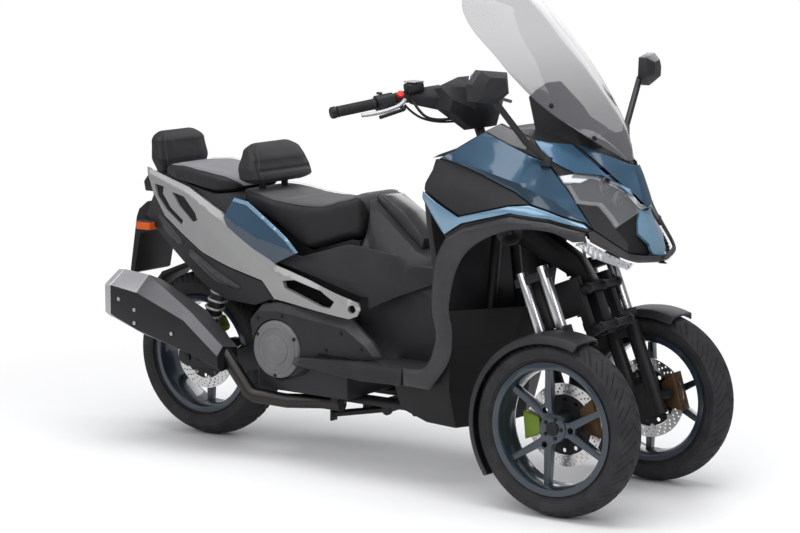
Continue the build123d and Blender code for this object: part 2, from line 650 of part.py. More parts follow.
# ---------------------------------------------------------------- windscreen and mirrors
# height, side edge (forward, half width), quarter (forward, half width), middle forward
SCREEN = [
    (1050, (868, 12), (874, 6), 876),
    (1100, (812, 74), (838, 40), 846),
    (1155, (752, 140), (796, 78), 808),
    (1228, (665, 200), (732, 112), 755),
    (1315, (580, 234), (656, 132), 686),
    (1375, (522, 240), (602, 136), 636),
    (1460, (436, 246), (520, 140), 558),
    (1530, (386, 222), (450, 128), 486),
    (1575, (366, 150), (402, 88), 424),
]
screen_sections = []
for z, edge, quarter, middle in SCREEN:
    line = round_line([edge, quarter])
    face = line[:2] + [(fore(middle), 0)] + line[2:]
    screen_sections.append((level(z), face + [(x - SCREEN_T, y * 0.985) for x, y in face[::-1]]))
piece_of("windscreen", ruled(screen_sections), less=[nose_cowl, dash])

MIRROR_BASE = (706, 236, 1072)
MIRROR_ELBOW = (668, 300, 1130)
MIRROR_HEAD = (634, 440, 1274)
MIRROR_SWEEP = 15
mirror_out = (-sin(radians(MIRROR_SWEEP)), -cos(radians(MIRROR_SWEEP)), 0)
mirror_front = (cos(radians(MIRROR_SWEEP)), -sin(radians(MIRROR_SWEEP)), 0)
mirror_plane = Plane(origin=(fore(650), -470, 1302), x_dir=mirror_out, z_dir=mirror_front)
MIRROR_BACK = [(-62, -40), (40, -50), (76, -10), (70, 40), (-20, 52), (-70, 22)]
with BuildPart() as one_mirror:
    add(bar((MIRROR_BASE[0], -MIRROR_BASE[1], MIRROR_BASE[2]),
            (MIRROR_ELBOW[0], -MIRROR_ELBOW[1], MIRROR_ELBOW[2]), 11))
    add(bar((MIRROR_ELBOW[0], -MIRROR_ELBOW[1], MIRROR_ELBOW[2]),
            (MIRROR_HEAD[0], -MIRROR_HEAD[1], MIRROR_HEAD[2]), 10))
    add(bar((MIRROR_BASE[0], -MIRROR_BASE[1] - 6, MIRROR_BASE[2] - 20),
            (MIRROR_BASE[0], -MIRROR_BASE[1], MIRROR_BASE[2] + 8), 17))
    loft(sections=[polygon(mirror_plane.offset(-18), MIRROR_BACK),
                   polygon(mirror_plane.offset(8), MIRROR_BACK),
                   polygon(mirror_plane.offset(30), [(x * 0.6, y * 0.6) for x, y in MIRROR_BACK])],
         ruled=True)
piece_of("mirrors", mirrored(one_mirror.part), less=[core(FAIRING, -SEAT_GAP)])

# ---------------------------------------------------------------- seats
SEAT_FRONT = TUNNEL_REAR - 6
RIDER_UNDER = [(SEAT_FRONT, 750), (-94, 752), (-256, 704), (-440, 800), (-556, 850)]
PILLION_UNDER = [(-592, 868), (-650, 862), (-780, 884), (-896, 908)]
RIDER_PAD = RIDER_UNDER + [(-566, 872), (-556, 884), (-400, 862), (-210, 862), (-110, 890),
                           (-74, 899), (SEAT_FRONT, 890)]
RIDER_EDGE = RIDER_UNDER + [(-560, 862), (-546, 868), (-400, 842), (-210, 838), (-110, 862),
                            (-78, 872), (SEAT_FRONT, 866)]
RIDER_HALF, RIDER_TOP_HALF = 168, 128
rider_seat = symmetric([(RIDER_HALF, RIDER_EDGE), (RIDER_TOP_HALF, RIDER_PAD)])
piece_of("rider_seat", rider_seat)
BACKREST = [(-560, 912), (-545, 900), (-480, 896), (-455, 918), (-500, 1020), (-530, 1036),
            (-556, 1010)]
BACKREST_EDGE = [(-556, 926), (-548, 918), (-494, 914), (-476, 926), (-502, 982), (-524, 992),
                 (-550, 978)]
piece_of("rider_backrest", symmetric([(150, BACKREST_EDGE), (112, BACKREST)]),
         *[bar((-520, y, 850), (-520, y, 915), 12) for y in (-60, 60)], less=[rider_seat])
PILLION = PILLION_UNDER + [(-892, 940), (-800, 952), (-640, 930), (-585, 900)]
PILLION_EDGE = PILLION_UNDER + [(-884, 926), (-790, 930), (-645, 906), (-592, 884)]
piece_of("passenger_seat", symmetric([(160, PILLION_EDGE), (132, PILLION)]))
SEAT_BED = 0.8              # between a closed seat and what it rests on
TAIL_TOP = PILLION_UNDER[-1][1] - SEAT_BED
BACK_FOOT = TAIL_TOP + SEAT_GAP
PILLION_BACK = [(-944, BACK_FOOT), (-902, BACK_FOOT), (-897, 958), (-915, 1040), (-945, 1052),
                (-968, 1040)]
PILLION_BACK_EDGE = [(-940, BACK_FOOT), (-904, BACK_FOOT), (-906, 960), (-922, 1020),
                     (-944, 1028), (-962, 1020)]

# ---------------------------------------------------------------- rear bodywork
SIDE_FRAME = [(-1000, 925), (-767, 875), (-602, 811), (-346, 655), (-187, 622), (-22, 577),
              (12, 556), (12, 528), (-28, 512), (-109, 522), (-350, 543), (-403, 598),
              (-560, 630), (-686, 664), (-792, 714), (-891, 766), (-958, 838)]
FRAME_WINDOW = [(-312, 607), (-304, 584), (-135, 541), (-97, 540), (-77, 564), (-135, 594),
                (-253, 616)]
RING = (-12, 545)
RING_HOLE_R = 13
BLUE_PANEL = [(-531, 864), (-570, 800), (-350, 666), (-233, 708), (-290, 752), (-470, 856)]
UNDERTAIL = [(-1000, 760), (-962, 832), (-893, 760), (-794, 708), (-688, 658), (-562, 624),
             (-405, 592), (-360, 542), (-440, 512), (-574, 517), (-700, 566), (-900, 690)]
side_skin = side_walls(TAIL, 0, SIDE_PLATE)
side_frames = piece_of("side_frames", bored(cut_out(side_skin, SIDE_FRAME, FRAME_WINDOW), *RING, RING_HOLE_R))
piece_of("passenger_backrest", symmetric([(132, PILLION_BACK_EDGE), (105, PILLION_BACK)]),
         less=[side_frames])
piece_of("side_panels", cut_out(side_walls(TAIL, 3, SIDE_PLATE + 3), BLUE_PANEL))
TUB_REAR = -416
TAIL_CORE = ([(-1000, TAIL_TOP)] + [(x, z - SEAT_BED) for x, z in PILLION_UNDER[::-1]]
             + [(x, z - SEAT_BED) for x, z in RIDER_UNDER[:2:-1]]
             + [(TUB_REAR, 786), (TUB_REAR, 640), (-560, 645), (-792, 728), (-960, 800)])
tail_core = cut_out(core(TAIL, SIDE_PLATE + SEAT_GAP), TAIL_CORE)
tail_unit = piece_of("tail_unit", tail_core, cut_out(side_walls(TAIL, -6, 10), UNDERTAIL))

UNDERSEAT = [(-430, 672), (-380, 690), (-256, 688), (-94, 738), (-43, 736), (100, 716), (130, 690),
             (262, 690), (268, 650), (116, 590), (24, 545), (16, 580), (-24, 582), (-187, 627),
             (-346, 660)]
piece_of("underseat_panels", cut_out(side_walls(WAIST, 0, 8), UNDERSEAT), less=[tail_unit])

TAIL_LAMP = [(-100, 838), (100, 838), (110, 872), (84, 892), (-84, 892), (-110, 872)]
with BuildPart() as tail_lamp:
    extrude(polygon(station(fore(-1024)), [(y * 0.8, z) for y, z in TAIL_LAMP]), amount=58)
    add(tail_unit, mode=Mode.SUBTRACT)
    add(side_frames, mode=Mode.SUBTRACT)
save("tail_lamp", tail_lamp)

PLATE_HOLDER = [(-962, 800), (-1000, 805), (-1038, 776), (-1050, 748), (-1081, 560), (-1073, 546),
                (-1063, 552), (-1034, 690), (-1000, 708), (-930, 726)]
rear_mudguard = piece_of("rear_mudguard", symmetric([(96, PLATE_HOLDER)]),
         symmetric([(70, [(-560, 560), (-700, 604), (-830, 610), (-960, 560), (-1010, 500),
                          (-1004, 494), (-952, 548), (-830, 598), (-700, 592), (-565, 550)])]),
         less=[tail_unit])
with BuildPart() as indicator:
    with BuildSketch(station(fore(-1010))):
        with Locations((-122, 728)):
            Rectangle(52, 30)
    extrude(amount=62)
piece_of("rear_indicators", mirrored(indicator.part), less=[tail_unit])

# ---------------------------------------------------------------- middle bodywork
piece_of("centre_tunnel", tunnel)
LID_HALF = 56
LID = [(TUNNEL_TOP[0][0] + 2, TUNNEL_TOP[0][1]), (-50, 894), (-20, 888), (60, 838), (134, 762),
       TUNNEL_TOP[1]]
piece_of("fuel_lid", symmetric([(LID_HALF, [(x, z + SEAT_GAP) for x, z in LID])]))

ENGINE_TOP, ENGINE_LOW = 500, 236
PIVOT = (REAR_AXLE[0] + REAR_TYRE_R + 46, 330)      # swingarm's
ENGINE_REAR, ENGINE_FRONT = PIVOT[0] + 30, fore(-62)
ENGINE_HALF = 205
with BuildPart() as engine:
    with BuildSketch(level(ENGINE_LOW)):
        with Locations(((ENGINE_REAR + ENGINE_FRONT) / 2, 0)):
            Rectangle(ENGINE_FRONT - ENGINE_REAR, 2 * ENGINE_HALF)
    extrude(amount=ENGINE_TOP - ENGINE_LOW)
save("engine", engine)

CAP_CENTRE = (fore(-322), 381)
CAP_R, CAP_T = 96, 30
COVER_OUT = 242
COVER = [(-420, 400), (-431, 486), (-398, 520), (-330, 533), (-39, 508), (48, 442), (86, 396),
         (-1, 376), (-150, 380), (-236, 300), (-322, 270), (-400, 310)]
COVER_EDGE = [(-420, 400), (-431, 470), (-398, 500), (-318, 508), (-48, 478), (34, 430), (66, 400),
              (-1, 384), (-150, 388), (-236, 308), (-322, 280), (-400, 320)]
cover_in = ENGINE_HALF + SEAT_GAP
with BuildPart() as cover:
    add(ruled([(side_plane(-cover_in), placed(COVER)), (side_plane(-cover_in - 14), placed(COVER)),
               (side_plane(-COVER_OUT), placed(COVER_EDGE))]))
with BuildPart() as cover_right:
    add(cover.part)
    with BuildSketch(side_plane(-COVER_OUT + CAP_T - 6)):
        with Locations(CAP_CENTRE):
            Circle(CAP_R + 4)
    extrude(amount=80, mode=Mode.SUBTRACT)
with BuildPart() as cover_left:
    mirror(cover.part, about=Plane.XZ)
piece_of("engine_covers", cover_right.part, cover_left.part)
with BuildPart() as drive_cap:
    with BuildSketch(side_plane(-COVER_OUT + CAP_T - 6 - SEAT_GAP)):
        with Locations(CAP_CENTRE):
            Circle(CAP_R)
    extrude(amount=CAP_T)
    chamfer(drive_cap.faces().sort_by(Axis.Y)[0].edges(), 7)
save("drive_cap", drive_cap)

# ---------------------------------------------------------------- exhaust
CAN = [
    (-968, [(-328, 545), (-328, 445), (-300, 425), (-215, 430), (-205, 560), (-252, 590)]),
    (-850, [(-330, 530), (-328, 402), (-300, 386), (-210, 400), (-200, 560), (-264, 583)]),
    (-650, [(-325, 455), (-320, 350), (-295, 338), (-205, 350), (-198, 470), (-288, 480)]),
    (-520, [(-308, 345), (-305, 304), (-285, 290), (-205, 300), (-200, 362), (-278, 374)]),
]
silencer = piece_of("silencer", ruled([(station(fore(x)), ring) for x, ring in CAN]))
rear_ring = CAN[0][1]
piece_of("silencer_cap", ruled([
    (station(fore(CAN[0][0]) - SEAT_GAP), rear_ring),
    (station(fore(-996)), [(y * 0.97 - 8, z * 0.96 + 22) for y, z in rear_ring])]))
PIPE_R = 24
PIPE_Z = ENGINE_LOW - PIPE_R - 8
PIPE_PORT = (-150, -138)    # where the pipe goes up into the engine, forward and side
piece_of("exhaust_pipe", bent_bar([(-540, -250, 352), (-430, -ENGINE_HALF - PIPE_R - 10, 216),
                               (-310, -200, PIPE_Z), (-210, -138, PIPE_Z),
                               (PIPE_PORT[0] + 20, -138, PIPE_Z)], PIPE_R, 50),
         bar((*PIPE_PORT, PIPE_Z), (*PIPE_PORT, ENGINE_LOW - SEAT_GAP), PIPE_R), less=[silencer])

# ---------------------------------------------------------------- rear wheel's carrier
SHOCK_Y = 152
SHOCK_LOW, SHOCK_HIGH = placed([(-735, 300), (-600, 600)])
ARM_IN, ARM_W = 100, 30
ARM_SIDE = ([(PIVOT[0], PIVOT[1] + 46), (PIVOT[0], PIVOT[1] - 46)]
            + placed([(-560, 262), (-800, 254), (-836, 270), (-836, 304), (-800, 318), (-600, 330)]))
REAR_CALIPER = (fore(-742), 384)
with BuildPart() as swingarm:
    for side in (RIGHT, LEFT):
        extrude(polygon(side_plane(side * ARM_IN), ARM_SIDE), amount=-side * ARM_W)
    add(rod((PIVOT[0] - SEAT_GAP, -ARM_IN - 4, PIVOT[1]),
            (PIVOT[0] - SEAT_GAP, ARM_IN + 4, PIVOT[1]), 30))
    add(rod((REAR_AXLE[0], -ARM_IN - ARM_W - 12, REAR_AXLE[1]),
            (REAR_AXLE[0], ARM_IN + ARM_W + 12, REAR_AXLE[1]), AXLE_R))
    for side in (RIGHT, LEFT):
        add(rod((REAR_AXLE[0], side * (ARM_IN + 2), REAR_AXLE[1]),
                (REAR_AXLE[0], side * (DISC_FACE + DISC_T + 8), REAR_AXLE[1]), AXLE_R + 10))
    for side in (RIGHT, LEFT):
        add(rod((SHOCK_LOW[0], side * (ARM_IN + ARM_W - 2), SHOCK_LOW[1]),
                (SHOCK_LOW[0], side * (SHOCK_Y + 14), SHOCK_LOW[1]), 12))
        add(bent_bar([(-690, side * 115, 316), (-690, side * 115, 560), (-700, side * 66, 606)], 7, 20))
    extrude(polygon(side_plane(-ARM_IN), placed([(-790, 310), (-700, 310), (-710, 400), (-760, 410)])),
            amount=-12)
    add(rear_mudguard, mode=Mode.SUBTRACT)
save("swingarm", swingarm)

shock_line = Vector(SHOCK_HIGH[0] - SHOCK_LOW[0], 0, SHOCK_HIGH[1] - SHOCK_LOW[1]).normalized()
with BuildPart() as shock:
    foot = Vector(SHOCK_LOW[0], -SHOCK_Y, SHOCK_LOW[1])
    head = Vector(SHOCK_HIGH[0], -SHOCK_Y, SHOCK_HIGH[1])
    add(rod(foot + shock_line * 14, head - shock_line * 14, 12))
    add(rod(foot + shock_line * 60, head - shock_line * 50, 27))
    for end in (foot, head):
        add(rod(end - Vector(0, 12, 0), end + Vector(0, 12, 0), 18))
        with BuildSketch(Plane(origin=end - Vector(0, 20, 0), x_dir=(1, 0, 0), z_dir=(0, 1, 0))):
            Circle(12 + SEAT_GAP)
        extrude(amount=40, mode=Mode.SUBTRACT)
piece_of("rear_shocks", mirrored(shock.part), less=[tail_unit])

with BuildPart() as rear_caliper:
    with BuildSketch(Plane(origin=(REAR_CALIPER[0], -ARM_IN + 12 + SEAT_GAP, REAR_CALIPER[1]),
                           x_dir=(1, 0, 0), z_dir=(0, 1, 0))):
        with Locations(Rotation(0, 0, -30)):
            RectangleRounded(96, 56, 14)
    extrude(amount=62)
    with BuildSketch(Plane(origin=(REAR_AXLE[0], -DISC_FACE - DISC_T - PAD_GAP - SEAT_GAP,
                                   REAR_AXLE[1]), x_dir=(1, 0, 0), z_dir=(0, 1, 0))):
        Circle(REAR_DISC_R + 5)
    extrude(amount=DISC_T + 2 * PAD_GAP, mode=Mode.SUBTRACT)
save("rear_caliper", rear_caliper)

# ---------------------------------------------------------------- chassis
TUB_HALF, TUB_WALL, TUB_LOW = 132, 4, 505
RAIL_R, RAIL_Y = 17, 88
RAIL_Z = ENGINE_LOW - RAIL_R - SEAT_GAP
SEAT_RAIL_Y = TUB_HALF + RAIL_R + 3
MAST_HALF = 24
ARM_BACK = ARM_AHEAD - ARM_T / 2 - SEAT_GAP     # where the mast and horns stop, ahead of the axis
STAND_PIVOT = (fore(0), 190)
STAND_EAR = 62              # inner faces of the ears that carry the centre stand
FLOOR_POST = (180, 160)     # forward and side
HEAD_LOW, HEAD_HIGH = 800, 1010
MAST = [(390, 868), (470, 868), (690, 750), (738, 682), (700, 664), (660, 690), (430, 790), (390, 800)]
YOKE, YOKE_HALF = [(392, 800), (470, 800), (470, 850), (392, 850)], 60     # joins the rails to the mast
mast_plane = Plane(origin=on_axis(0), x_dir=AXIS_AHEAD, z_dir=(0, -1, 0))
with BuildPart() as frame:
    for side in (RIGHT, LEFT):
        add(bent_bar([(408, side * 44, 830), (412, side * RAIL_Y, 560), (350, side * RAIL_Y, RAIL_Z),
                  (-300, side * RAIL_Y, RAIL_Z)], RAIL_R, 60))
        add(bar((FLOOR_POST[0], side * FLOOR_POST[1], RAIL_Z),
                (FLOOR_POST[0], side * FLOOR_POST[1], FLOOR_Z - FLOOR_T - SEAT_GAP), 11))
        with BuildSketch(side_plane(side * STAND_EAR)):
            with Locations(STAND_PIVOT):
                Circle(18)
            with Locations((STAND_PIVOT[0], STAND_PIVOT[1] + 16)):
                Rectangle(36, 32)
        extrude(amount=-side * 12)
    for x, reach in ((345, RAIL_Y), (FLOOR_POST[0], FLOOR_POST[1] + 11), (0, RAIL_Y),
                     (-296, RAIL_Y)):
        add(bar((x, -reach, RAIL_Z), (x, reach, RAIL_Z), 11))
    add(rod(on_stem(HEAD_LOW), on_stem(HEAD_HIGH), STEM_R + 14))
    extrude(polygon(side_plane(MAST_HALF), placed(MAST)), amount=2 * MAST_HALF)
    extrude(polygon(side_plane(YOKE_HALF), placed(YOKE)), amount=2 * YOKE_HALF)
    with BuildSketch(mast_plane):
        with BuildLine():
            Polyline((ARM_BACK - 44, ARM_LEVELS[0] - 24), (ARM_BACK, ARM_LEVELS[0] - 24),
                     (ARM_BACK, ARM_LEVELS[1] + 24), (ARM_BACK - 44, ARM_LEVELS[1] + 24),
                     close=True)
        make_face()
    extrude(amount=MAST_HALF, both=True)
    add(rod(on_stem(HEAD_LOW - 40), on_stem(HEAD_HIGH + 40), STEM_R + RUN_GAP),
        mode=Mode.SUBTRACT)
save("frame", frame)

SEAT_RAIL_Z = ENGINE_TOP + RAIL_R + SEAT_GAP
with BuildPart() as seat_frame:
    for side in (RIGHT, LEFT):
        add(bent_bar([(-210, side * SEAT_RAIL_Y, SEAT_RAIL_Z), (-340, side * SEAT_RAIL_Y, SEAT_RAIL_Z),
                      (-500, side * SEAT_RAIL_Y, 660)], RAIL_R, 60))
        add(rod((SHOCK_HIGH[0], side * 96, SHOCK_HIGH[1]),
                (SHOCK_HIGH[0], side * (SHOCK_Y + 14), SHOCK_HIGH[1]), 12))
        add(rod((SHOCK_HIGH[0], side * 108, SHOCK_HIGH[1]),
                (SHOCK_HIGH[0], side * 108, SHOCK_HIGH[1] + 130), 13))
    add(tail_core, mode=Mode.SUBTRACT)
save("seat_frame", seat_frame)


def tilt_column(side):
    """The bearing column of one kingpin, with the horn that the tilt arms are pinned to."""
    column = axis_plane(COLUMN_LOW, side)
    horn_out = -side * (KINGPIN_Y - 100)
    horn_in = -side * (KINGPIN_Y - ARM_PIVOT_Y + 12)
    with BuildPart() as piece:
        with BuildSketch(column):
            Circle(COLUMN_R)
        extrude(amount=COLUMN_HIGH - COLUMN_LOW)
        extrude(polygon(axis_plane(COLUMN_LOW + 16, side),
                        [(-16, 0), (16, 0), (16, horn_out), (ARM_BACK, horn_out),
                         (ARM_BACK, horn_in), (-16, horn_in)]),
                amount=COLUMN_HIGH - COLUMN_LOW - 32)
        extrude(polygon(axis_plane(ARM_LEVELS[0] - 20, side),
                        [(ARM_BACK - 30, horn_out), (ARM_BACK, horn_out), (ARM_BACK, horn_in),
                         (ARM_BACK - 30, horn_in)]),
                amount=ARM_LEVELS[1] - ARM_LEVELS[0] + 40)
        with BuildSketch(axis_plane(COLUMN_LOW - 40, side)):
            Circle(KINGPIN_R + RUN_GAP)
        extrude(amount=COLUMN_HIGH - COLUMN_LOW + 80, mode=Mode.SUBTRACT)
    return piece.part


with BuildPart() as tilt_arms:
    for up in ARM_LEVELS:
        face = Plane(origin=on_axis(up, ARM_AHEAD - ARM_T / 2), x_dir=(0, 1, 0), z_dir=AXIS_AHEAD)
        with BuildSketch(face):
            Rectangle(2 * ARM_PIVOT_Y, 24)
            with Locations((-ARM_PIVOT_Y, 0), (0, 0), (ARM_PIVOT_Y, 0)):
                Circle(ARM_BOSS_R)
        extrude(amount=ARM_T)
        with BuildSketch(face.offset(ARM_T)):
            with Locations((-ARM_PIVOT_Y, 0), (0, 0), (ARM_PIVOT_Y, 0)):
                RegularPolygon(11, 6)
        extrude(amount=8)
piece_of("tilt_linkage", tilt_column(RIGHT), tilt_column(LEFT), tilt_arms.part)

tub_rim = [(x, z - SEAT_BED) for x, z in RIDER_UNDER[:3]]
TUB = [(SEAT_FRONT, TUB_LOW), (SEAT_FRONT, tub_rim[0][1])] + tub_rim[1:] + [(TUB_REAR + 1, 784),
                                                                           (TUB_REAR + 1, TUB_LOW)]
piece_of("luggage_tub", symmetric([(TUB_HALF, TUB)]),
         less=[symmetric([(TUB_HALF - TUB_WALL,
                           [(SEAT_FRONT - TUB_WALL, TUB_LOW + TUB_WALL),
                            (SEAT_FRONT - TUB_WALL, 900), (TUB_REAR + 1 + TUB_WALL, 900),
                            (TUB_REAR + 1 + TUB_WALL, TUB_LOW + TUB_WALL)])])])

# ---------------------------------------------------------------- handlebar
BAR_END, BAR_KNEE, BAR_INNER = placed([(34, -386, 1190), (124, -246, 1218), (246, -90, 1236)])
GRIP_LONG = 124
bar_out = (Vector(*BAR_END) - Vector(*BAR_KNEE)).normalized()
grip_start = Vector(*BAR_END) - bar_out * GRIP_LONG
bar_points = [BAR_END, BAR_KNEE, BAR_INNER] + [(x, -y, z) for x, y, z in (BAR_INNER, BAR_KNEE, BAR_END)]
bars = tube(bar_points, BAR_R, 30)
LEVER = [(136, -240, 1214), (206, -262, 1200), (186, -370, 1180)]
with BuildPart() as handlebar:
    add(bars)
    add(rod(on_stem(HEAD_HIGH - 180), on_stem(STEM_TOP[1] + 6), STEM_R))
    add(mirrored(bent_bar(LEVER, 6, 16)))
    add(mirrored(rod(grip_start - bar_out * 6, grip_start - bar_out * 62, 25)))
save("handlebar", handlebar)
with BuildPart() as grip:
    add(rod(grip_start - bar_out * 5.7, Vector(*BAR_END) + bar_out * 4, GRIP_R))
    add(rod(Vector(*BAR_END) + bar_out * 4, Vector(*BAR_END) + bar_out * 22, GRIP_R + 2))
piece_of("grips", mirrored(grip.part), less=[bars])
COVER_HALF = [(150, [(205, 1222), (222, 1252), (262, 1262), (306, 1226), (296, 1190),
                     (240, 1196), (222, 1204)]),
              (70, [(190, 1230), (216, 1266), (270, 1290), (330, 1262), (342, 1190), (326, 1130),
                    (296, 1124)])]
piece_of("handlebar_cover", symmetric(COVER_HALF), less=[handlebar.part])

# ---------------------------------------------------------------- centre stand
STAND_FOOT = (fore(-200), 156)
with BuildPart() as stand:
    add(rod((STAND_PIVOT[0], SEAT_GAP - STAND_EAR, STAND_PIVOT[1]),
            (STAND_PIVOT[0], STAND_EAR - SEAT_GAP, STAND_PIVOT[1]), 11))
    for side in (RIGHT, LEFT):
        add(rod((STAND_PIVOT[0], side * (STAND_EAR - 18), STAND_PIVOT[1]),
                (STAND_FOOT[0], side * 92, STAND_FOOT[1]), 11))
        with BuildSketch(Plane(origin=(STAND_FOOT[0] - 4, side * 92, STAND_FOOT[1]),
                               z_dir=(1, 0, 0))):
            Rectangle(44, 30)
        extrude(amount=8)
    add(bar((-96, -66, 173), (-96, 66, 173), 9))
save("centre_stand", stand)
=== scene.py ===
"""Dresses the reverse trike: its painted panels, cushions, tyres, lamps, glass and stage."""
import json
import math

import bmesh
import bpy
from mathutils import Matrix, Vector, noise
from mathutils.geometry import delaunay_2d_cdt


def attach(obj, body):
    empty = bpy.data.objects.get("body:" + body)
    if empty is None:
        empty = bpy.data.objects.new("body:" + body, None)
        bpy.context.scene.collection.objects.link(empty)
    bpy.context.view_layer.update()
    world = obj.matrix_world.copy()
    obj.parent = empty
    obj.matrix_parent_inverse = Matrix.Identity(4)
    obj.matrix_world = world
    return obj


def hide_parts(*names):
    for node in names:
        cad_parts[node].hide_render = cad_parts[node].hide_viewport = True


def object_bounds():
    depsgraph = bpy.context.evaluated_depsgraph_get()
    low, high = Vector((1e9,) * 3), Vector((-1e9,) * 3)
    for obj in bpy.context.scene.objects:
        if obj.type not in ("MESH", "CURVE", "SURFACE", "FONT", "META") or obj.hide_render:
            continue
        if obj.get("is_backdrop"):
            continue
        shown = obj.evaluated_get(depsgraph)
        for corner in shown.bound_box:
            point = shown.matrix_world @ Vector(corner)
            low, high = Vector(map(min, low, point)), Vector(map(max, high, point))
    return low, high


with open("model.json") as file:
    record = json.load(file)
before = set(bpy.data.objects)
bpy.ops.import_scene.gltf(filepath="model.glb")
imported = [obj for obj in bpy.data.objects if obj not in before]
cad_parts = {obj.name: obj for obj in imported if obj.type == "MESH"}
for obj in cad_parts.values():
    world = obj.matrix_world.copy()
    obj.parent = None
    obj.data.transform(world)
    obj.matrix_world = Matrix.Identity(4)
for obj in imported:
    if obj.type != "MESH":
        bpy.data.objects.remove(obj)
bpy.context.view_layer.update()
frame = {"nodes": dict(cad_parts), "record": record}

bl_info = {
    "name": "Reverse trike dressing",
    "version": (1, 0, 0),
    "blender": (4, 5, 0),
    "location": "View3D > Sidebar > Trike",
    "description": "Builds the finished surfaces of a tilting three-wheeled scooter",
    "category": "Object",
}

NODES = frame["nodes"]
BODY_OF = {node: body for body, members in frame["record"]["behaviour"]["bodies"].items()
           for node in members}
RIGHT, LEFT = -1, 1


# ------------------------------------------------------------------ sizes and colours
class TrikeSizes(bpy.types.PropertyGroup):
    panel_wall: bpy.props.FloatProperty(
        name="Panel wall", description="Thickness of the painted panels",
        default=0.004, unit="LENGTH")
    panel_gap: bpy.props.FloatProperty(
        name="Panel gap", description="Half the gap between neighbouring panels",
        default=0.0016, unit="LENGTH")
    tread_depth: bpy.props.FloatProperty(
        name="Tread depth", description="Depth of the tyres' grooves",
        default=0.0045, unit="LENGTH")
    seam_depth: bpy.props.FloatProperty(
        name="Seam depth", description="How far the seats' seams pull in",
        default=0.004, unit="LENGTH")
    bolt_radius: bpy.props.FloatProperty(
        name="Bolt radius", description="Radius of the visible screw heads",
        default=0.005, unit="LENGTH")
    hole_radius: bpy.props.FloatProperty(
        name="Disc hole radius", description="Radius of the holes drilled in the brake discs",
        default=0.0035, unit="LENGTH")


class TrikeColours(bpy.types.PropertyGroup):
    paint: bpy.props.FloatVectorProperty(
        name="Paint", description="Metallic body colour", subtype="COLOR",
        default=(0.021, 0.062, 0.110))
    # Painted highlight: a paler copy of the paint, put on the flange above the arch, the nose fin
    # and the side panels' rims where light falls.
    paint_light: bpy.props.FloatVectorProperty(
        name="Paint flange", description="Paler tone of the flange above the wheel arch",
        subtype="COLOR", default=(0.15, 0.27, 0.38))
    plastic: bpy.props.FloatVectorProperty(
        name="Moulded plastic", description="Charcoal of the unpainted mouldings",
        subtype="COLOR", default=(0.0175, 0.0175, 0.019))
    silver: bpy.props.FloatVectorProperty(
        name="Silver", description="Satin silver of the side frames", subtype="COLOR",
        default=(0.26, 0.26, 0.256))
    vinyl: bpy.props.FloatVectorProperty(
        name="Seat vinyl", description="Grey vinyl of the seat tops", subtype="COLOR",
        default=(0.075, 0.075, 0.079))
    wheel: bpy.props.FloatVectorProperty(
        name="Wheel", description="Slate blue of the cast wheels", subtype="COLOR",
        default=(0.017, 0.028, 0.041))


def sizes():
    return bpy.context.scene.trike_sizes


def colours():
    return bpy.context.scene.trike_colours


# ------------------------------------------------------------------ materials
class Wire:
    """A shader socket that arithmetic can be written on."""

    def __init__(self, finish, socket):
        self.finish, self.socket = finish, socket

    def _math(self, operation, *values):
        return self.finish.node("ShaderNodeMath", {"operation": operation}, values)

    def __add__(self, other):
        return self._math("ADD", self, other)

    __radd__ = __add__

    def __sub__(self, other):
        return self._math("SUBTRACT", self, other)

    def __rsub__(self, other):
        return self._math("SUBTRACT", other, self)

    def __mul__(self, other):
        return self._math("MULTIPLY", self, other)

    __rmul__ = __mul__

    def above(self, limit, soft):
        """0 below a limit and 1 above it, blended over a soft width."""
        return self.finish.node("ShaderNodeMapRange", {"interpolation_type": "SMOOTHSTEP"},
                                {"Value": self, "From Min": limit - soft, "From Max": limit + soft})


class Finish:
    """One material, built on a Principled shader."""

    def __init__(self, name, **fixed):
        self.material = bpy.data.materials.new(name)
        self.material.use_nodes = True
        self.tree = self.material.node_tree
        self.shader = self.tree.nodes["Principled BSDF"]
        for socket, value in fixed.items():
            self.shader.inputs[socket.replace("_", " ")].default_value = value

    def node(self, kind, settings=None, values=(), out=0):
        """Any node: its settings are set first, then the values or links of its sockets."""
        made = self.tree.nodes.new(kind)
        for key, value in (settings or {}).items():
            setattr(made, key, value)
        pairs = values.items() if isinstance(values, dict) else enumerate(values)
        for key, value in pairs:
            socket = made.inputs[key]
            if isinstance(value, Wire):
                self.tree.links.new(value.socket, socket)
            else:
                socket.default_value = value
        return Wire(self, made.outputs[out])

    def place(self, stretch=(1, 1, 1)):
        """The point on the piece, in metres, stretched."""
        point = self.node("ShaderNodeTexCoord", out=3)
        return self.node("ShaderNodeMapping", values={0: point, 3: stretch})

    def noise(self, scale, detail=3.0, stretch=(1, 1, 1), rough=0.5):
        return self.node("ShaderNodeTexNoise", values={
            "Vector": self.place(stretch), "Scale": scale, "Detail": detail, "Roughness": rough})

    def split(self, axis):
        """One coordinate of the point on the piece, in metres."""
        point = self.node("ShaderNodeTexCoord", out=3)
        return self.node("ShaderNodeSeparateXYZ", values={0: point}, out="XYZ".index(axis))

    def mix(self, amount, low, high):
        """A colour between two others."""
        low = low if isinstance(low, Wire) else (*low[:3], 1)
        high = high if isinstance(high, Wire) else (*high[:3], 1)
        return self.node("ShaderNodeMix", {"data_type": "RGBA"},
                         {0: amount, 6: low, 7: high}, out=2)

    def feed(self, socket, wire):
        self.tree.links.new(wire.socket, self.shader.inputs[socket])
        return self

    def bump(self, height, strength, distance):
        return self.feed("Normal", self.node("ShaderNodeBump", values={
            "Strength": strength, "Distance": distance, "Height": height}))


def shade(colour, factor):
    """A colour made darker or lighter."""
    return tuple(min(1.0, c * factor) for c in colour)


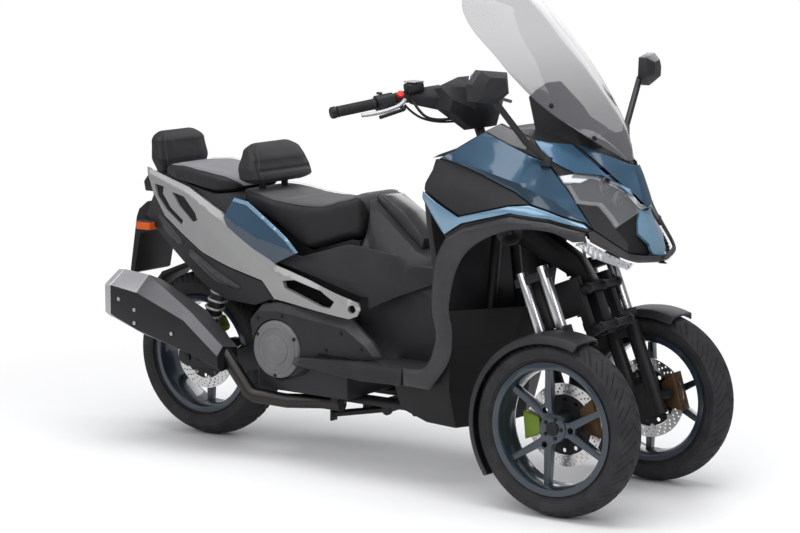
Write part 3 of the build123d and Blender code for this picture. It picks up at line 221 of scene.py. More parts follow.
def painted(name, colour, metallic=0.55, rough=0.34):
    """Metallic paint under clear coat, with fine flake and a slow drift of tone."""
    f = Finish(name, Metallic=metallic, Coat_Roughness=0.06, Specular_IOR_Level=0.5)
    flake = f.noise(2600, 1.0)
    drift = f.noise(3.0, 2.0)
    f.feed("Base Color", f.mix(drift * 0.5 + flake * 0.5, shade(colour, 0.82), shade(colour, 1.2)))
    f.feed("Roughness", flake * 0.10 + (rough - 0.05))
    f.feed("Coat Weight", 0.9 - f.noise(40, 3.0) * 0.15)
    return f.bump(f.noise(1800, 1.0), 0.03, 0.0002).material


def moulded(name, colour, rough=0.52, grain=1.0):
    """Unpainted plastic with a spark-eroded grain and faint scuffs."""
    f = Finish(name, Specular_IOR_Level=0.26)
    scuff = f.noise(14, 5.0, rough=0.65)
    grit = f.noise(1400, 2.0)
    f.feed("Base Color", f.mix(scuff.above(0.52, 0.2), shade(colour, 0.9), shade(colour, 1.16)))
    f.feed("Roughness", scuff * 0.16 + grit * 0.06 + (rough - 0.11))
    return f.bump(grit * 0.7 + f.noise(520, 2.0) * 0.3, 0.22 * grain, 0.0004).material


def cast_metal(name, colour, rough, metallic):
    """Sand-cast or painted metal with a slight orange peel."""
    f = Finish(name, Specular_IOR_Level=0.32)
    peel = f.noise(420, 2.0)
    stain = f.noise(9, 4.0)
    f.feed("Base Color", f.mix(stain, shade(colour, 0.85), shade(colour, 1.15)))
    f.feed("Metallic", metallic - stain * 0.1)
    f.feed("Roughness", rough - 0.06 + stain * 0.14)
    return f.bump(peel, 0.12, 0.0004).material


def turned_metal(name, colour, rough):
    """Bright metal with machining lines."""
    f = Finish(name, Specular_IOR_Level=0.5)
    lines = f.noise(90, 3.0, stretch=(1, 60, 1))
    f.feed("Base Color", f.mix(lines, shade(colour, 0.9), shade(colour, 1.08)))
    f.feed("Metallic", 1.0 - f.noise(30) * 0.06)
    f.feed("Roughness", rough + lines * 0.12 - 0.06)
    return f.bump(lines, 0.05, 0.0003).material


def rubber(name, colour=(0.022, 0.022, 0.023), rough=0.72):
    """Tyre and grip rubber: dull, with dusty patches and fine pores."""
    f = Finish(name, Specular_IOR_Level=0.2)
    dust = f.noise(18, 5.0, rough=0.6)
    pores = f.noise(1100, 2.0)
    f.feed("Base Color", f.mix(dust.above(0.55, 0.2), shade(colour, 0.9), shade(colour, 1.5)))
    f.feed("Roughness", rough - 0.08 + dust * 0.18)
    return f.bump(pores, 0.2, 0.0005).material


def vinyl(name, colour, rough=0.5):
    """Grained seat vinyl: small pebbles, sheen and slight wear on the crown."""
    f = Finish(name, Specular_IOR_Level=0.26, Sheen_Weight=0.04, Sheen_Roughness=0.4)
    cells = f.node("ShaderNodeTexVoronoi", {"feature": "DISTANCE_TO_EDGE"},
                   {"Vector": f.place(), "Scale": 620})
    worn = f.noise(7, 4.0)
    f.feed("Base Color", f.mix(worn, shade(colour, 0.86), shade(colour, 1.18)))
    f.feed("Roughness", rough - 0.07 + worn * 0.16)
    return f.bump(cells.above(0.06, 0.06) * 0.8 + f.noise(1500) * 0.2, 0.3, 0.0004).material


def clear(name, colour, alpha):
    """Clear plastic of the lamps."""
    f = Finish(name, IOR=1.45, Specular_IOR_Level=0.5, Alpha=alpha)
    haze = f.noise(25, 3.0)
    f.feed("Base Color", f.mix(haze, shade(colour, 0.98), colour))
    return f.feed("Roughness", haze * 0.04 + 0.03).material


def smoked(name, colour):
    """Smoked screen plastic, denser towards its foot."""
    f = Finish(name, Specular_IOR_Level=0.5)
    haze = f.noise(25, 3.0)
    f.feed("Base Color", f.mix(haze, shade(colour, 0.94), colour))
    f.feed("Roughness", haze * 0.04 + 0.03)
    return f.feed("Alpha", 0.62 - f.split("Z").above(1.30, 0.16) * 0.30).material


def glowing(name, colour, strength):
    """A lit or bright diffusing surface."""
    f = Finish(name, Roughness=0.35, Emission_Strength=strength)
    f.feed("Base Color", f.mix(f.noise(60), shade(colour, 0.94), colour))
    return f.feed("Emission Color", f.mix(f.noise(30), shade(colour, 0.96), colour)).material


FINISHES = {}


def finish(name):
    """Each material is made once, when a piece first asks for it."""
    if name not in FINISHES:
        c = colours()
        recipes = {
            "paint": lambda: painted(name, c.paint[:]),
            # Painted highlight: the paint made paler for faces that catch the light.
            "paint_light": lambda: painted(name, c.paint_light[:], 0.45, 0.3),
            # Painted highlight: the paint made lighter for the cowl wings.
            "paint_wing": lambda: painted(name, shade(c.paint[:], 1.7)),
            # Painted shade: the paint made darker for faces turned away from the light.
            "paint_painted_shade": lambda: painted(name, shade(c.paint[:], 0.55)),
            "wheel_paint": lambda: painted(name, c.wheel[:], 0.5, 0.38),
            "plastic": lambda: moulded(name, c.plastic[:]),
            "plastic_dark": lambda: moulded(name, shade(c.plastic[:], 0.4), 0.6),
            # Paler satin plastic. Where it is put on up-facing faces only, it is painted highlight.
            "plastic_satin": lambda: moulded(name, shade(c.plastic[:], 1.9), 0.38, 0.4),
            "plastic_grey": lambda: moulded(name, (0.13, 0.13, 0.135), 0.42, 0.5),
            "lid": lambda: moulded(name, (0.045, 0.045, 0.048), 0.2, 0.05),
            "plastic_gloss": lambda: moulded(name, shade(c.plastic[:], 0.5), 0.25, 0.02),
            "silver": lambda: painted(name, c.silver[:], 0.35, 0.42),
            "black_metal": lambda: cast_metal(name, (0.011, 0.011, 0.012), 0.42, 0.3),
            "casting": lambda: cast_metal(name, (0.016, 0.016, 0.017), 0.45, 0.4),
            "alloy": lambda: cast_metal(name, (0.028, 0.028, 0.03), 0.42, 0.5),
            "gold": lambda: cast_metal(name, (0.085, 0.048, 0.022), 0.4, 0.6),
            "lime": lambda: cast_metal(name, (0.17, 0.26, 0.03), 0.4, 0.3),
            "chrome": lambda: turned_metal(name, (0.5, 0.5, 0.51), 0.24),
            "disc": lambda: turned_metal(name, (0.55, 0.54, 0.53), 0.3),
            "pipe": lambda: turned_metal(name, (0.045, 0.042, 0.04), 0.4),
            "can": lambda: cast_metal(name, (0.014, 0.014, 0.015), 0.36, 0.3),
            "can_grey": lambda: cast_metal(name, (0.085, 0.083, 0.09), 0.4, 0.5),
            "can_cap": lambda: cast_metal(name, (0.42, 0.42, 0.43), 0.36, 0.6),
            "rubber": lambda: rubber(name),
            "grip": lambda: rubber(name, (0.02, 0.02, 0.02), 0.6),
            "vinyl": lambda: vinyl(name, c.vinyl[:]),
            "vinyl_light": lambda: vinyl(name, shade(c.vinyl[:], 2.6), 0.55),
            "vinyl_black": lambda: vinyl(name, shade(c.vinyl[:], 0.19), 0.5),
            "thread": lambda: vinyl(name, (0.09, 0.09, 0.095), 0.6),
            "screen": lambda: smoked(name, (0.13, 0.13, 0.14)),
            "lens": lambda: clear(name, (0.5, 0.52, 0.54), 0.10),
            "mirror_glass": lambda: turned_metal(name, (0.85, 0.86, 0.88), 0.04),
            "lamp_white": lambda: glowing(name, (0.75, 0.77, 0.80), 0.1),
            "lamp_bowl": lambda: turned_metal(name, (0.50, 0.51, 0.53), 0.2),
            "orange": lambda: moulded(name, (0.55, 0.085, 0.012), 0.25, 0.1),
            "red": lambda: moulded(name, (0.22, 0.006, 0.008), 0.18, 0.1),
            "red_button": lambda: moulded(name, (0.6, 0.02, 0.015), 0.35, 0.1),
        }
        FINISHES[name] = recipes[name]()
    return FINISHES[name]


# ------------------------------------------------------------------ mesh tools
# Points closer together than this, in metres, become one.
MERGE_FINE, MERGE, MERGE_HALVES = 0.00001, 0.00002, 0.00005
CAD_FLAT = math.radians(1.2)      # faces of the CAD closer to one plane than this are joined


def worked(mesh, *edits):
    """A mesh after some edits, each a function of its bmesh."""
    work = bmesh.new()
    work.from_mesh(mesh)
    for edit in edits:
        edit(work)
    work.to_mesh(mesh)
    work.free()
    return mesh


def primitive(name, edit):
    """A new mesh from one edit of an empty bmesh."""
    return worked(bpy.data.meshes.new(name), edit)


def merged(distance):
    """The edit that joins points closer together than a distance."""
    return lambda work: bmesh.ops.remove_doubles(work, verts=work.verts, dist=distance)


def outward(work):
    """The edit that turns every face outwards."""
    bmesh.ops.recalc_face_normals(work, faces=work.faces)


def evaluated(holder):
    """The mesh that a helper object stands for.  The helper goes."""
    graph = bpy.context.evaluated_depsgraph_get()
    mesh = bpy.data.meshes.new_from_object(holder.evaluated_get(graph), depsgraph=graph)
    bpy.data.objects.remove(holder)
    return mesh


def helper(name, data):
    """An object in the scene that is there only to be evaluated."""
    made = bpy.data.objects.new(name, data)
    bpy.context.scene.collection.objects.link(made)
    return made


def new_piece(name, mesh, material, body, slot, *stands_for):
    """A finished piece: it rides on a body and may stand for CAD nodes. Its slot argument is not
    used.
    """
    materials = material if isinstance(material, (list, tuple)) else [material]
    picked = [min(face.material_index, len(materials) - 1) for face in mesh.polygons]
    mesh.materials.clear()
    for one in materials:
        mesh.materials.append(finish(one))
    mesh.polygons.foreach_set("material_index", picked)
    piece = bpy.data.objects.new(name, mesh)
    bpy.context.scene.collection.objects.link(piece)
    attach(piece, body)
    if stands_for:
        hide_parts(*stands_for)
    return piece


def applied(mesh, *modifiers):
    """The mesh after some modifiers, each a type and its settings."""
    holder = helper("holder", mesh)
    for kind, settings in modifiers:
        modifier = holder.modifiers.new(kind, kind)
        for key, value in settings.items():
            setattr(modifier, key, value)
    return evaluated(holder)


def smooth(mesh, angle):
    """Smooth shading, with edges sharper than an angle kept."""
    mesh.shade_smooth()
    mesh.set_sharp_from_angle(angle=math.radians(angle))
    return mesh


def rounded(mesh, width, angle=32, segments=2, keep=35):
    """Rounds the edges that are sharper than an angle."""
    made = applied(mesh, ("BEVEL", {
        "width": width, "segments": segments, "limit_method": "ANGLE",
        "angle_limit": math.radians(angle), "harden_normals": False,
        "use_clamp_overlap": True, "miter_outer": "MITER_ARC"}))
    return smooth(made, keep)


def cad_mesh(node):
    """A clean copy of a CAD node's mesh: merged and with its flat faces joined."""
    return worked(NODES[node].data.copy(), merged(MERGE), lambda work: bmesh.ops.dissolve_limit(
        work, angle_limit=CAD_FLAT, verts=work.verts, edges=work.edges))


def dressed(node, material, width, segments=2, angle=32):
    """A CAD node with its edges rounded, standing for the node."""
    slot = next(s["material_slot"] for s in frame["record"]["subparts"] if s["node"] == node)
    mesh = rounded(cad_mesh(node), width, angle, segments)
    return new_piece(f"{node}_finished", mesh, material, BODY_OF[node], slot, node)


def built(vertices, faces):
    mesh = bpy.data.meshes.new("built")
    mesh.from_pydata([tuple(v) for v in vertices], [], faces)
    return mesh


def joined(*meshes):
    """Several meshes as one, each keeping its material indices."""
    def fill(work):
        for mesh in meshes:
            work.from_mesh(mesh)

    return primitive("joined", fill)


def mirrored(mesh, merge=False):
    """A mesh and its mirror image in the centre plane."""
    def flip(work):
        for v in work.verts:
            v.co.y = -v.co.y
        bmesh.ops.reverse_faces(work, faces=work.faces)

    made = joined(mesh, worked(mesh.copy(), flip))
    return worked(made, merged(MERGE_HALVES)) if merge else made


def tube(points, radius, sides=12):
    """A round tube along a smooth line through a few points."""
    curve = bpy.data.curves.new("tube", "CURVE")
    curve.dimensions = "3D"
    curve.bevel_depth = radius
    curve.bevel_resolution = max(1, sides // 4)
    curve.resolution_u = 8
    curve.use_fill_caps = True
    line = curve.splines.new("NURBS")
    line.points.add(len(points) - 1)
    for target, point in zip(line.points, points):
        target.co = (*point, 1)
    line.order_u = 3
    line.use_endpoint_u = True
    return smooth(evaluated(helper("tube", curve)), 50)


def around(count, start=0.0):
    """The angles of evenly spaced places round a circle."""
    return [2 * math.pi * n / count + start for n in range(count)]


def wheelwise(centre, along, radius, angle):
    """A point at an angle round an axle that runs along Y."""
    return (centre[0] + radius * math.cos(angle), centre[1] + along,
            centre[2] + radius * math.sin(angle))


def turned(profile, centre, steps):
    """A closed ring turned about Y.  Profile points are (along the axis, radius)."""
    count = len(profile)
    vertices = [wheelwise(centre, along, radius, a)
                for a in around(steps) for along, radius in profile]
    faces = []
    for n in range(steps):
        for m in range(count):
            a, b = n * count + m, n * count + (m + 1) % count
            c, d = ((n + 1) % steps) * count + (m + 1) % count, ((n + 1) % steps) * count + m
            faces.append((a, b, c, d))
    return worked(built(vertices, faces), merged(MERGE_FINE), outward)


# ------------------------------------------------------------------ panel surfaces
# Height, then (forward, half width) of each corner, rear first, in millimetres.
FAIRING = [
    (730, [(290, 290), (400, 300), (630, 300), (800, 240), (925, 130), (958, 40)]),
    (790, [(290, 300), (400, 318), (640, 318), (800, 262), (932, 140), (966, 40)]),
    (850, [(290, 310), (400, 332), (640, 328), (795, 262), (912, 125), (946, 35)]),
    (910, [(290, 318), (400, 337), (640, 330), (790, 245), (882, 105), (924, 30)]),
    (970, [(290, 315), (400, 328), (645, 302), (785, 208), (850, 98), (908, 22)]),
    (1060, [(290, 300), (420, 296), (640, 268), (715, 225), (785, 95), (868, 16)]),
    (1180, [(290, 275), (450, 262), (560, 236), (625, 196), (690, 88), (760, 14)]),
]
FLANK = [
    (310, [(190, 280), (300, 292), (420, 296), (640, 296), (860, 210)]),
    (500, [(190, 290), (300, 304), (420, 308), (640, 306), (860, 215)]),
    (740, [(190, 290), (300, 306), (420, 314), (640, 312), (860, 218)]),
    (850, [(190, 300), (300, 312), (420, 330), (640, 326), (860, 212)]),
    (930, [(190, 300), (300, 312), (420, 334), (640, 326), (860, 195)]),
]


def hermite(p0, p1, m0, m1, t):
    """A smooth step between two values, with a slope at each."""
    return ((2 * t ** 3 - 3 * t ** 2 + 1) * p0 + (t ** 3 - 2 * t ** 2 + t) * m0
            + (3 * t ** 2 - 2 * t ** 3) * p1 + (t ** 3 - t ** 2) * m1)


def corners_at(table, z):
    """The table's corners at any height, on smooth curves through its rows."""
    heights = [row[0] for row in table]
    z = min(max(z, heights[0]), heights[-1])
    n = max(i for i in range(len(heights) - 1) if heights[i] <= z or i == 0)
    span = heights[n + 1] - heights[n]
    t = (z - heights[n]) / span

    def slope(i, corner, axis):
        lo, hi = max(i - 1, 0), min(i + 1, len(heights) - 1)
        rise = table[hi][1][corner][axis] - table[lo][1][corner][axis]
        return rise / (heights[hi] - heights[lo])

    made = []
    for corner in range(len(table[0][1])):
        made.append(tuple(hermite(table[n][1][corner][axis], table[n + 1][1][corner][axis],
                                  slope(n, corner, axis) * span,
                                  slope(n + 1, corner, axis) * span, t) for axis in (0, 1)))
    return made


LINE_STEPS = 10          # points of an outline between two corners of its table


def half_line(table, z):
    """The right half of the body's outline at a height, rear to front, as (forward, half)."""
    corners = corners_at(table, z)
    nose = (corners[-1][0] + corners[-1][1] * 0.12, 0.0)
    points = corners + [nose, (corners[-1][0], -corners[-1][1])]
    line = []
    for n in range(len(points) - 2):
        p0, p1 = Vector(points[n]), Vector(points[n + 1])
        before = Vector(points[n - 1]) if n else p0 * 2 - p1
        after = Vector(points[n + 2])
        chord = (p1 - p0).length
        m0 = (p1 - before).normalized() * chord * 0.9
        m1 = (after - p0).normalized() * chord * 0.9
        for k in range(LINE_STEPS):
            t = k / LINE_STEPS
            line.append((hermite(p0.x, p1.x, m0.x, m1.x, t),
                         hermite(p0.y, p1.y, m0.y, m1.y, t)))
    line.append(nose)
    return line


LINES = {}


def half_at(table, x, z):
    """The body's half width at a point of the side view."""
    key = (id(table), round(z, 1))
    if key not in LINES:
        LINES[key] = half_line(table, z)
    line = LINES[key]
    for (x0, y0), (x1, y1) in zip(line, line[1:]):
        if x0 <= x <= x1:
            return y0 + (y1 - y0) * (x - x0) / max(x1 - x0, 1e-6)
    return line[0][1] if x < line[0][0] else 0.0


def shrunk(outline, gap):
    """An outline moved inwards by a small gap."""
    area = sum(a[0] * b[1] - b[0] * a[1] for a, b in zip(outline, outline[1:] + outline[:1]))
    sign = 1 if area > 0 else -1
    made = []
    for n, p in enumerate(outline):
        a = Vector(outline[n - 1])
        b = Vector(p)
        c = Vector(outline[(n + 1) % len(outline)])
        n1 = Vector((-(b - a).y, (b - a).x)).normalized() * sign
        n2 = Vector((-(c - b).y, (c - b).x)).normalized() * sign
        both = n1 + n2
        scale = gap * 2 / max(both.length_squared, 0.4)
        made.append(tuple(b + both * scale))
    return made


def inside(outline, x, z):
    """Whether a point of the side view lies inside an outline."""
    hit = False
    for (x0, z0), (x1, z1) in zip(outline, outline[1:] + outline[:1]):
        if (z0 > z) != (z1 > z) and x < (x1 - x0) * (z - z0) / (z1 - z0) + x0:
            hit = not hit
    return hit


def from_edge(outline, x, z):
    """Distance from a point to the nearest side of an outline."""
    best = 1e9
    p = Vector((x, z))
    for a, b in zip(outline, outline[1:] + outline[:1]):
        a, b = Vector(a), Vector(b)
        t = max(0, min(1, (p - a).dot(b - a) / max((b - a).length_squared, 1e-9)))
        best = min(best, (a + (b - a) * t - p).length)
    return best


def side_skin(outline, table, out, cell=11.0, lift=None, holes=(), lines=()):
    """A panel on the right flank, cut to a side-view outline in millimetres.

    out is how far it stands off the table's surface, and lift gives extra outward millimetres
    at a point of the side view.  lines are creases that the panel's faces meet along."""
    points, edges = [], []
    for line in lines:
        for a, b in zip(line, line[1:]):
            a, b = Vector(a), Vector(b)
            parts = max(1, round((b - a).length / cell))
            points += [a + (b - a) * n / parts for n in range(parts + 1)]
            edges += [(len(points) - 2 - n, len(points) - 1 - n) for n in range(parts)]
    for loop in (outline, *holes):
        first = len(points)
        for a, b in zip(loop, loop[1:] + loop[:1]):
            a, b = Vector(a), Vector(b)
            parts = max(1, round((b - a).length / cell))
            points += [a + (b - a) * n / parts for n in range(parts)]
        count = len(points) - first
        edges += [(first + n, first + (n + 1) % count) for n in range(count)]
    xs, zs = [p[0] for p in outline], [p[1] for p in outline]
    rows = int((max(zs) - min(zs)) / cell) + 1
    columns = int((max(xs) - min(xs)) / cell) + 1
    clearance = cell * 0.45
    for i in range(columns):
        for j in range(rows):
            x = min(xs) + (i + 0.5 + 0.25 * (j % 2)) * cell
            z = min(zs) + (j + 0.5) * cell
            if (inside(outline, x, z) and not any(inside(hole, x, z) for hole in holes)
                    and min(from_edge(loop, x, z) for loop in (outline, *holes)) > clearance
                    and not any(abs(from_line(line, x, z)) < clearance for line in lines)):
                points.append(Vector((x, z)))
    flat, _, faces, *_ = delaunay_2d_cdt(points, edges, [], 1, 1e-4)

    def in_hole(face):
        middle = sum((flat[n] for n in face), Vector((0, 0))) / len(face)
        return any(inside(hole, *middle) for hole in holes)

    def rightward(work):
        bmesh.ops.reverse_faces(work, faces=[f for f in work.faces if f.normal.y > 0])
        bmesh.ops.join_triangles(work, faces=work.faces, angle_face_threshold=0.7,
                                 angle_shape_threshold=0.7)

    vertices = []
    for p in flat:
        y = half_at(table, p.x, p.y) + out + (lift(p.x, p.y) if lift else 0)
        vertices.append((p.x / 1000, -y / 1000, p.y / 1000))
    return worked(built(vertices, [face for face in faces if not in_hole(face)]), rightward)


def crossings(outline, z):
    """Where an outline crosses a height, as the nearest and furthest forward place."""
    found = []
    for (x0, z0), (x1, z1) in zip(outline, outline[1:] + outline[:1]):
        if min(z0, z1) <= z <= max(z0, z1):
            if abs(z1 - z0) < 1e-6:
                found += [x0, x1]
            else:
                found.append(x0 + (x1 - x0) * (z - z0) / (z1 - z0))
    return min(found), max(found)


def grid_faces(rows, columns):
    """The faces of a grid of points, row after row, with a given number of faces each way."""
    starts = [r * (columns + 1) + n for r in range(rows) for n in range(columns)]
    return [(a, a + 1, a + columns + 2, a + columns + 1) for a in starts]


def nose_skin(outline, table, out, row=7.0, columns=22, lift=None):
    """A panel that runs round the nose, cut to a side-view outline in millimetres."""
    heights = sorted({p[1] for p in outline})
    levels = []
    for low, high in zip(heights, heights[1:]):
        steps = max(1, round((high - low) / row))
        levels += [low + (high - low) * n / steps for n in range(steps)]
    levels.append(heights[-1])
    levels[0] += 0.3
    levels[-1] -= 0.3
    grid = []
    for z in levels:
        rear, front = crossings(outline, z)
        line = half_line(table, z)
        kept = []
        for (x0, y0), (x1, y1) in zip(line, line[1:]):
            for x, y in ((x0, y0), (x1, y1)):
                if rear <= x <= front:
                    kept.append(Vector((x, y)))
        start = Vector((rear, half_at(table, rear, z)))
        tip = line[-1][0]
        end = Vector((tip, 0)) if front >= tip - 2 else Vector((front, half_at(table, front, z)))
        path = [start, *(p for p in kept if rear + 0.5 < p.x < min(front, tip) - 0.5), end]
        lengths = [0.0]
        for a, b in zip(path, path[1:]):
            lengths.append(lengths[-1] + (b - a).length)
        made = []
        for n in range(columns + 1):
            want = lengths[-1] * n / columns
            k = max(0, min(len(path) - 2, sum(1 for d in lengths if d < want) - 1))
            share = (want - lengths[k]) / max(lengths[k + 1] - lengths[k], 1e-6)
            made.append(path[k] + (path[k + 1] - path[k]) * min(1, max(0, share)))
        grid.append((z, made))
    vertices = []
    for z, made in grid:
        for n, p in enumerate(made):
            a, b = made[max(n - 1, 0)], made[min(n + 1, columns)]
            along = (b - a).normalized() if (b - a).length > 1e-6 else Vector((0, -1))
            normal = Vector((-along.y, along.x))
            q = p + normal * (out + (lift(p.x, z) if lift else 0))
            if abs(p.y) < 1e-6:
                q.y = 0
            vertices.append((q.x / 1000, -q.y / 1000, z / 1000))

    def forward(work):
        bmesh.ops.dissolve_degenerate(work, dist=MERGE, edges=work.edges)
        outward(work)
        if sum((f.normal.x - f.normal.y) * f.calc_area() for f in work.faces) < 0:
            bmesh.ops.reverse_faces(work, faces=work.faces)

    return worked(built(vertices, grid_faces(len(grid) - 1, columns)), merged(MERGE), forward)


def shell(mesh, wall, edge, keep):
    """A panel given its wall, inwards, with its rim rounded."""
    made = applied(mesh, ("SOLIDIFY", {"thickness": wall, "offset": -1.0, "use_even_offset": True}))
    return rounded(made, edge, 50, 2, keep)


# ------------------------------------------------------------------ wheels
FRONT_AXLE = 0.7925      # the front axle, forward
# name, axle (forward, side, up), tread radius, width, bead half width, disc radius, grooves
# round the tread, side of the hub's bolts (the disc is on the other)
WHEELS = [
    ("front_right", (FRONT_AXLE, -0.293, 0.2745), 0.2745, 0.120, 0.0442, 0.128, 32, RIGHT),
    ("front_left", (FRONT_AXLE, 0.293, 0.2745), 0.2745, 0.120, 0.0442, 0.128, 32, LEFT),
    ("rear", (-0.7925, 0.0, 0.2865), 0.2865, 0.160, 0.0567, 0.122, 34, LEFT),
]
FLANGE_R, BEAD_R = 0.204, 0.1908
DISC_FACE, DISC_T = 0.0363, 0.0045
HUB_FACE = 0.034         # the hub's outer face, from the wheel's middle
TREAD_POINTS = 44        # faces across the tread
# Cuts in one half of the tread: slanted or not, shift in pitches, nearest and furthest place
# across, fade at its ends, half width, soft edge, share of the groove depth.
TREAD_CUTS = [
    (True, 0.5, 0.10, 0.86, 0.06, 0.085, 0.03, 1.0),
    (True, 1.0, 0.46, 0.95, 0.06, 0.065, 0.03, 0.8),
    (False, 0.25, -1.0, 0.30, 0.05, 0.05, 0.02, 0.7),
]


def groove(turn, side):
    """How much of the groove depth is cut at a place on the tread, from 0 to 1.

    turn is the place round the tyre in groove pitches, side the place across from -1 to 1."""
    depth = 0.0
    across = abs(side)
    # the slanted cuts of the two halves lie half a pitch apart
    slant = turn + (0.5 if side > 0 else 0.0) + across * 0.95 + 0.35 * across * across
    sipe = turn + side * 2.2
    for slanted, shift, near, far, fade, half, soft, share in TREAD_CUTS:
        if near < across < far:
            off = abs(((slant if slanted else sipe) + shift) % 1 - 0.5)
            ends = min((across - near) / fade, (far - across) / fade, 1.0)
            depth = max(depth, min(1.0, max(0.0, (half - off) / soft)) * ends * share)
    return depth


def tyre_mesh(centre, radius, width, bead, steps, pitches):
    """A tyre with a cut tread, moulded sidewall rings and rounded beads."""
    half = width / 2
    shoulder = radius - width * 0.24
    # crown: the arc through both shoulders and the top
    rise = radius - shoulder
    crown = (half * half + rise * rise) / (2 * rise)
    spread = math.asin(min(1.0, half / crown))
    profile = []
    for n in range(TREAD_POINTS + 1):
        a = -spread + 2 * spread * n / TREAD_POINTS
        profile.append((crown * math.sin(a), radius - crown + crown * math.cos(a), a / spread))
    low = shoulder - width * 0.16
    # sidewall from shoulder to bead, with a rim-protector rib and two fine rings
    points = [(half * 0.995, shoulder - 0.004), (half * 0.985, low + 0.008), (half * 0.955, low),
              (half * 0.93, low - 0.003), (half * 0.935, low - 0.004), (half * 0.90, low - 0.010),
              (half * 0.87, low - 0.0105), (bead + 0.004, FLANGE_R + 0.009),
              (bead + 0.0035, FLANGE_R + 0.006), (bead, FLANGE_R + 0.003), (bead, BEAD_R)]
    wall = [(min(y, half), max(r, BEAD_R), None) for y, r in points]
    ring = [(-y, r, None) for y, r, _ in reversed(wall)] + profile + wall
    vertices, faces = [], []
    size = len(ring)
    depth = sizes().tread_depth
    for s, a in enumerate(around(steps)):
        for y, r, side in ring:
            if side is not None:
                r -= depth * groove(pitches * s / steps, side)
            vertices.append(wheelwise(centre, y, r, a))
    for s in range(steps):
        t = (s + 1) % steps
        for n in range(size):
            m = (n + 1) % size
            faces.append((s * size + n, s * size + m, t * size + m, t * size + n))
    return smooth(worked(built(vertices, faces), outward), 40)


def drilled_ring(centre, y, inner, outer, thickness, holes, hole_r):
    """A flat ring with rows of drilled holes, made from filled curves.

    holes is a list of (radius, count, start)."""
    curve = bpy.data.curves.new("ring", "CURVE")
    curve.dimensions = "2D"
    curve.fill_mode = "BOTH"
    curve.extrude = thickness / 2

    def circle(u, v, radius, count):
        spline = curve.splines.new("POLY")
        spline.points.add(count - 1)
        for target, a in zip(spline.points, around(count)):
            target.co = (u + radius * math.cos(a), v + radius * math.sin(a), 0, 1)
        spline.use_cyclic_u = True

    circle(0, 0, outer, 144)
    circle(0, 0, inner, 96)
    for radius, number, start in holes:
        for k in range(number):
            a = 2 * math.pi * (k + start) / number
            circle(radius * math.cos(a), radius * math.sin(a), hole_r, 10)
    mesh = evaluated(helper("ring", curve))
    mesh.transform(Matrix.Translation((centre[0], y, centre[2]))
                   @ Matrix.Rotation(math.pi / 2, 4, "X"))
    return smooth(worked(mesh, merged(MERGE_FINE), outward), 30)


def bolt_mesh(radius, height, sides=6):
    """A hexagon screw head with a washer, standing on its own origin along Z."""
    def fill(work):
        for segments, low, high, depth, middle in (
                (20, radius * 1.35, radius * 1.3, height * 0.3, height * 0.15),
                (sides, radius, radius * 0.9, height * 0.7, height * 0.65)):
            bmesh.ops.create_cone(work, cap_ends=True, segments=segments, radius1=low,
                                  radius2=high, depth=depth,
                                  matrix=Matrix.Translation((0, 0, middle)))

    return primitive("bolt", fill)


def scattered(spots, item, material):
    """One mesh with a copy of an item at every spot, made by a geometry node tree.

    A spot is a place and the direction that the item's own Z looks in."""
    tree = bpy.data.node_groups.new("scattered", "GeometryNodeTree")
    for name, way, kind in (("Geometry", "INPUT", "Geometry"), ("Item", "INPUT", "Object"),
                            ("Finish", "INPUT", "Material"), ("Scale", "INPUT", "Float"),
                            ("Geometry", "OUTPUT", "Geometry")):
        tree.interface.new_socket(name, in_out=way, socket_type=f"NodeSocket{kind}")
    n = {key: tree.nodes.new(kind) for key, kind in {
        "in": "NodeGroupInput", "out": "NodeGroupOutput", "item": "GeometryNodeObjectInfo",
        "look": "GeometryNodeInputNamedAttribute", "turn": "FunctionNodeAlignRotationToVector",
        "place": "GeometryNodeInstanceOnPoints", "real": "GeometryNodeRealizeInstances",
        "paint": "GeometryNodeSetMaterial"}.items()}
    n["look"].data_type = "FLOAT_VECTOR"
    n["look"].inputs["Name"].default_value = "look"
    n["turn"].axis = "Z"
    for giver, output, taker, socket in (
            ("in", "Geometry", "place", "Points"), ("in", "Item", "item", "Object"),
            ("item", "Geometry", "place", "Instance"), ("look", "Attribute", "turn", "Vector"),
            ("turn", "Rotation", "place", "Rotation"), ("in", "Scale", "place", "Scale"),
            ("place", "Instances", "real", "Geometry"), ("real", "Geometry", "paint", "Geometry"),
            ("in", "Finish", "paint", "Material"), ("paint", "Geometry", "out", "Geometry")):
        tree.links.new(n[giver].outputs[output], n[taker].inputs[socket])
    points = bpy.data.meshes.new("points")
    points.from_pydata([tuple(place) for place, _ in spots], [], [])
    look = points.attributes.new("look", "FLOAT_VECTOR", "POINT")
    for k, (_, direction) in enumerate(spots):
        look.data[k].vector = Vector(direction).normalized()
    holder, source = helper("holder", points), helper("source", item)
    modifier = holder.modifiers.new("scattered", "NODES")
    modifier.node_group = tree
    by_name = {s.name: s.identifier for s in tree.interface.items_tree if s.in_out == "INPUT"}
    modifier[by_name["Item"]] = source
    modifier[by_name["Finish"]] = finish(material)
    modifier[by_name["Scale"]] = 1.0
    mesh = evaluated(holder)
    bpy.data.objects.remove(source)
    return smooth(mesh, 30)


def scatter_piece(name, spots, item, material, body, slot):
    """A finished piece made of copies of one item."""
    return new_piece(name, scattered(spots, item, material), material, body, slot)


def screw(height):
    """A visible screw head."""
    return bolt_mesh(sizes().bolt_radius, height)


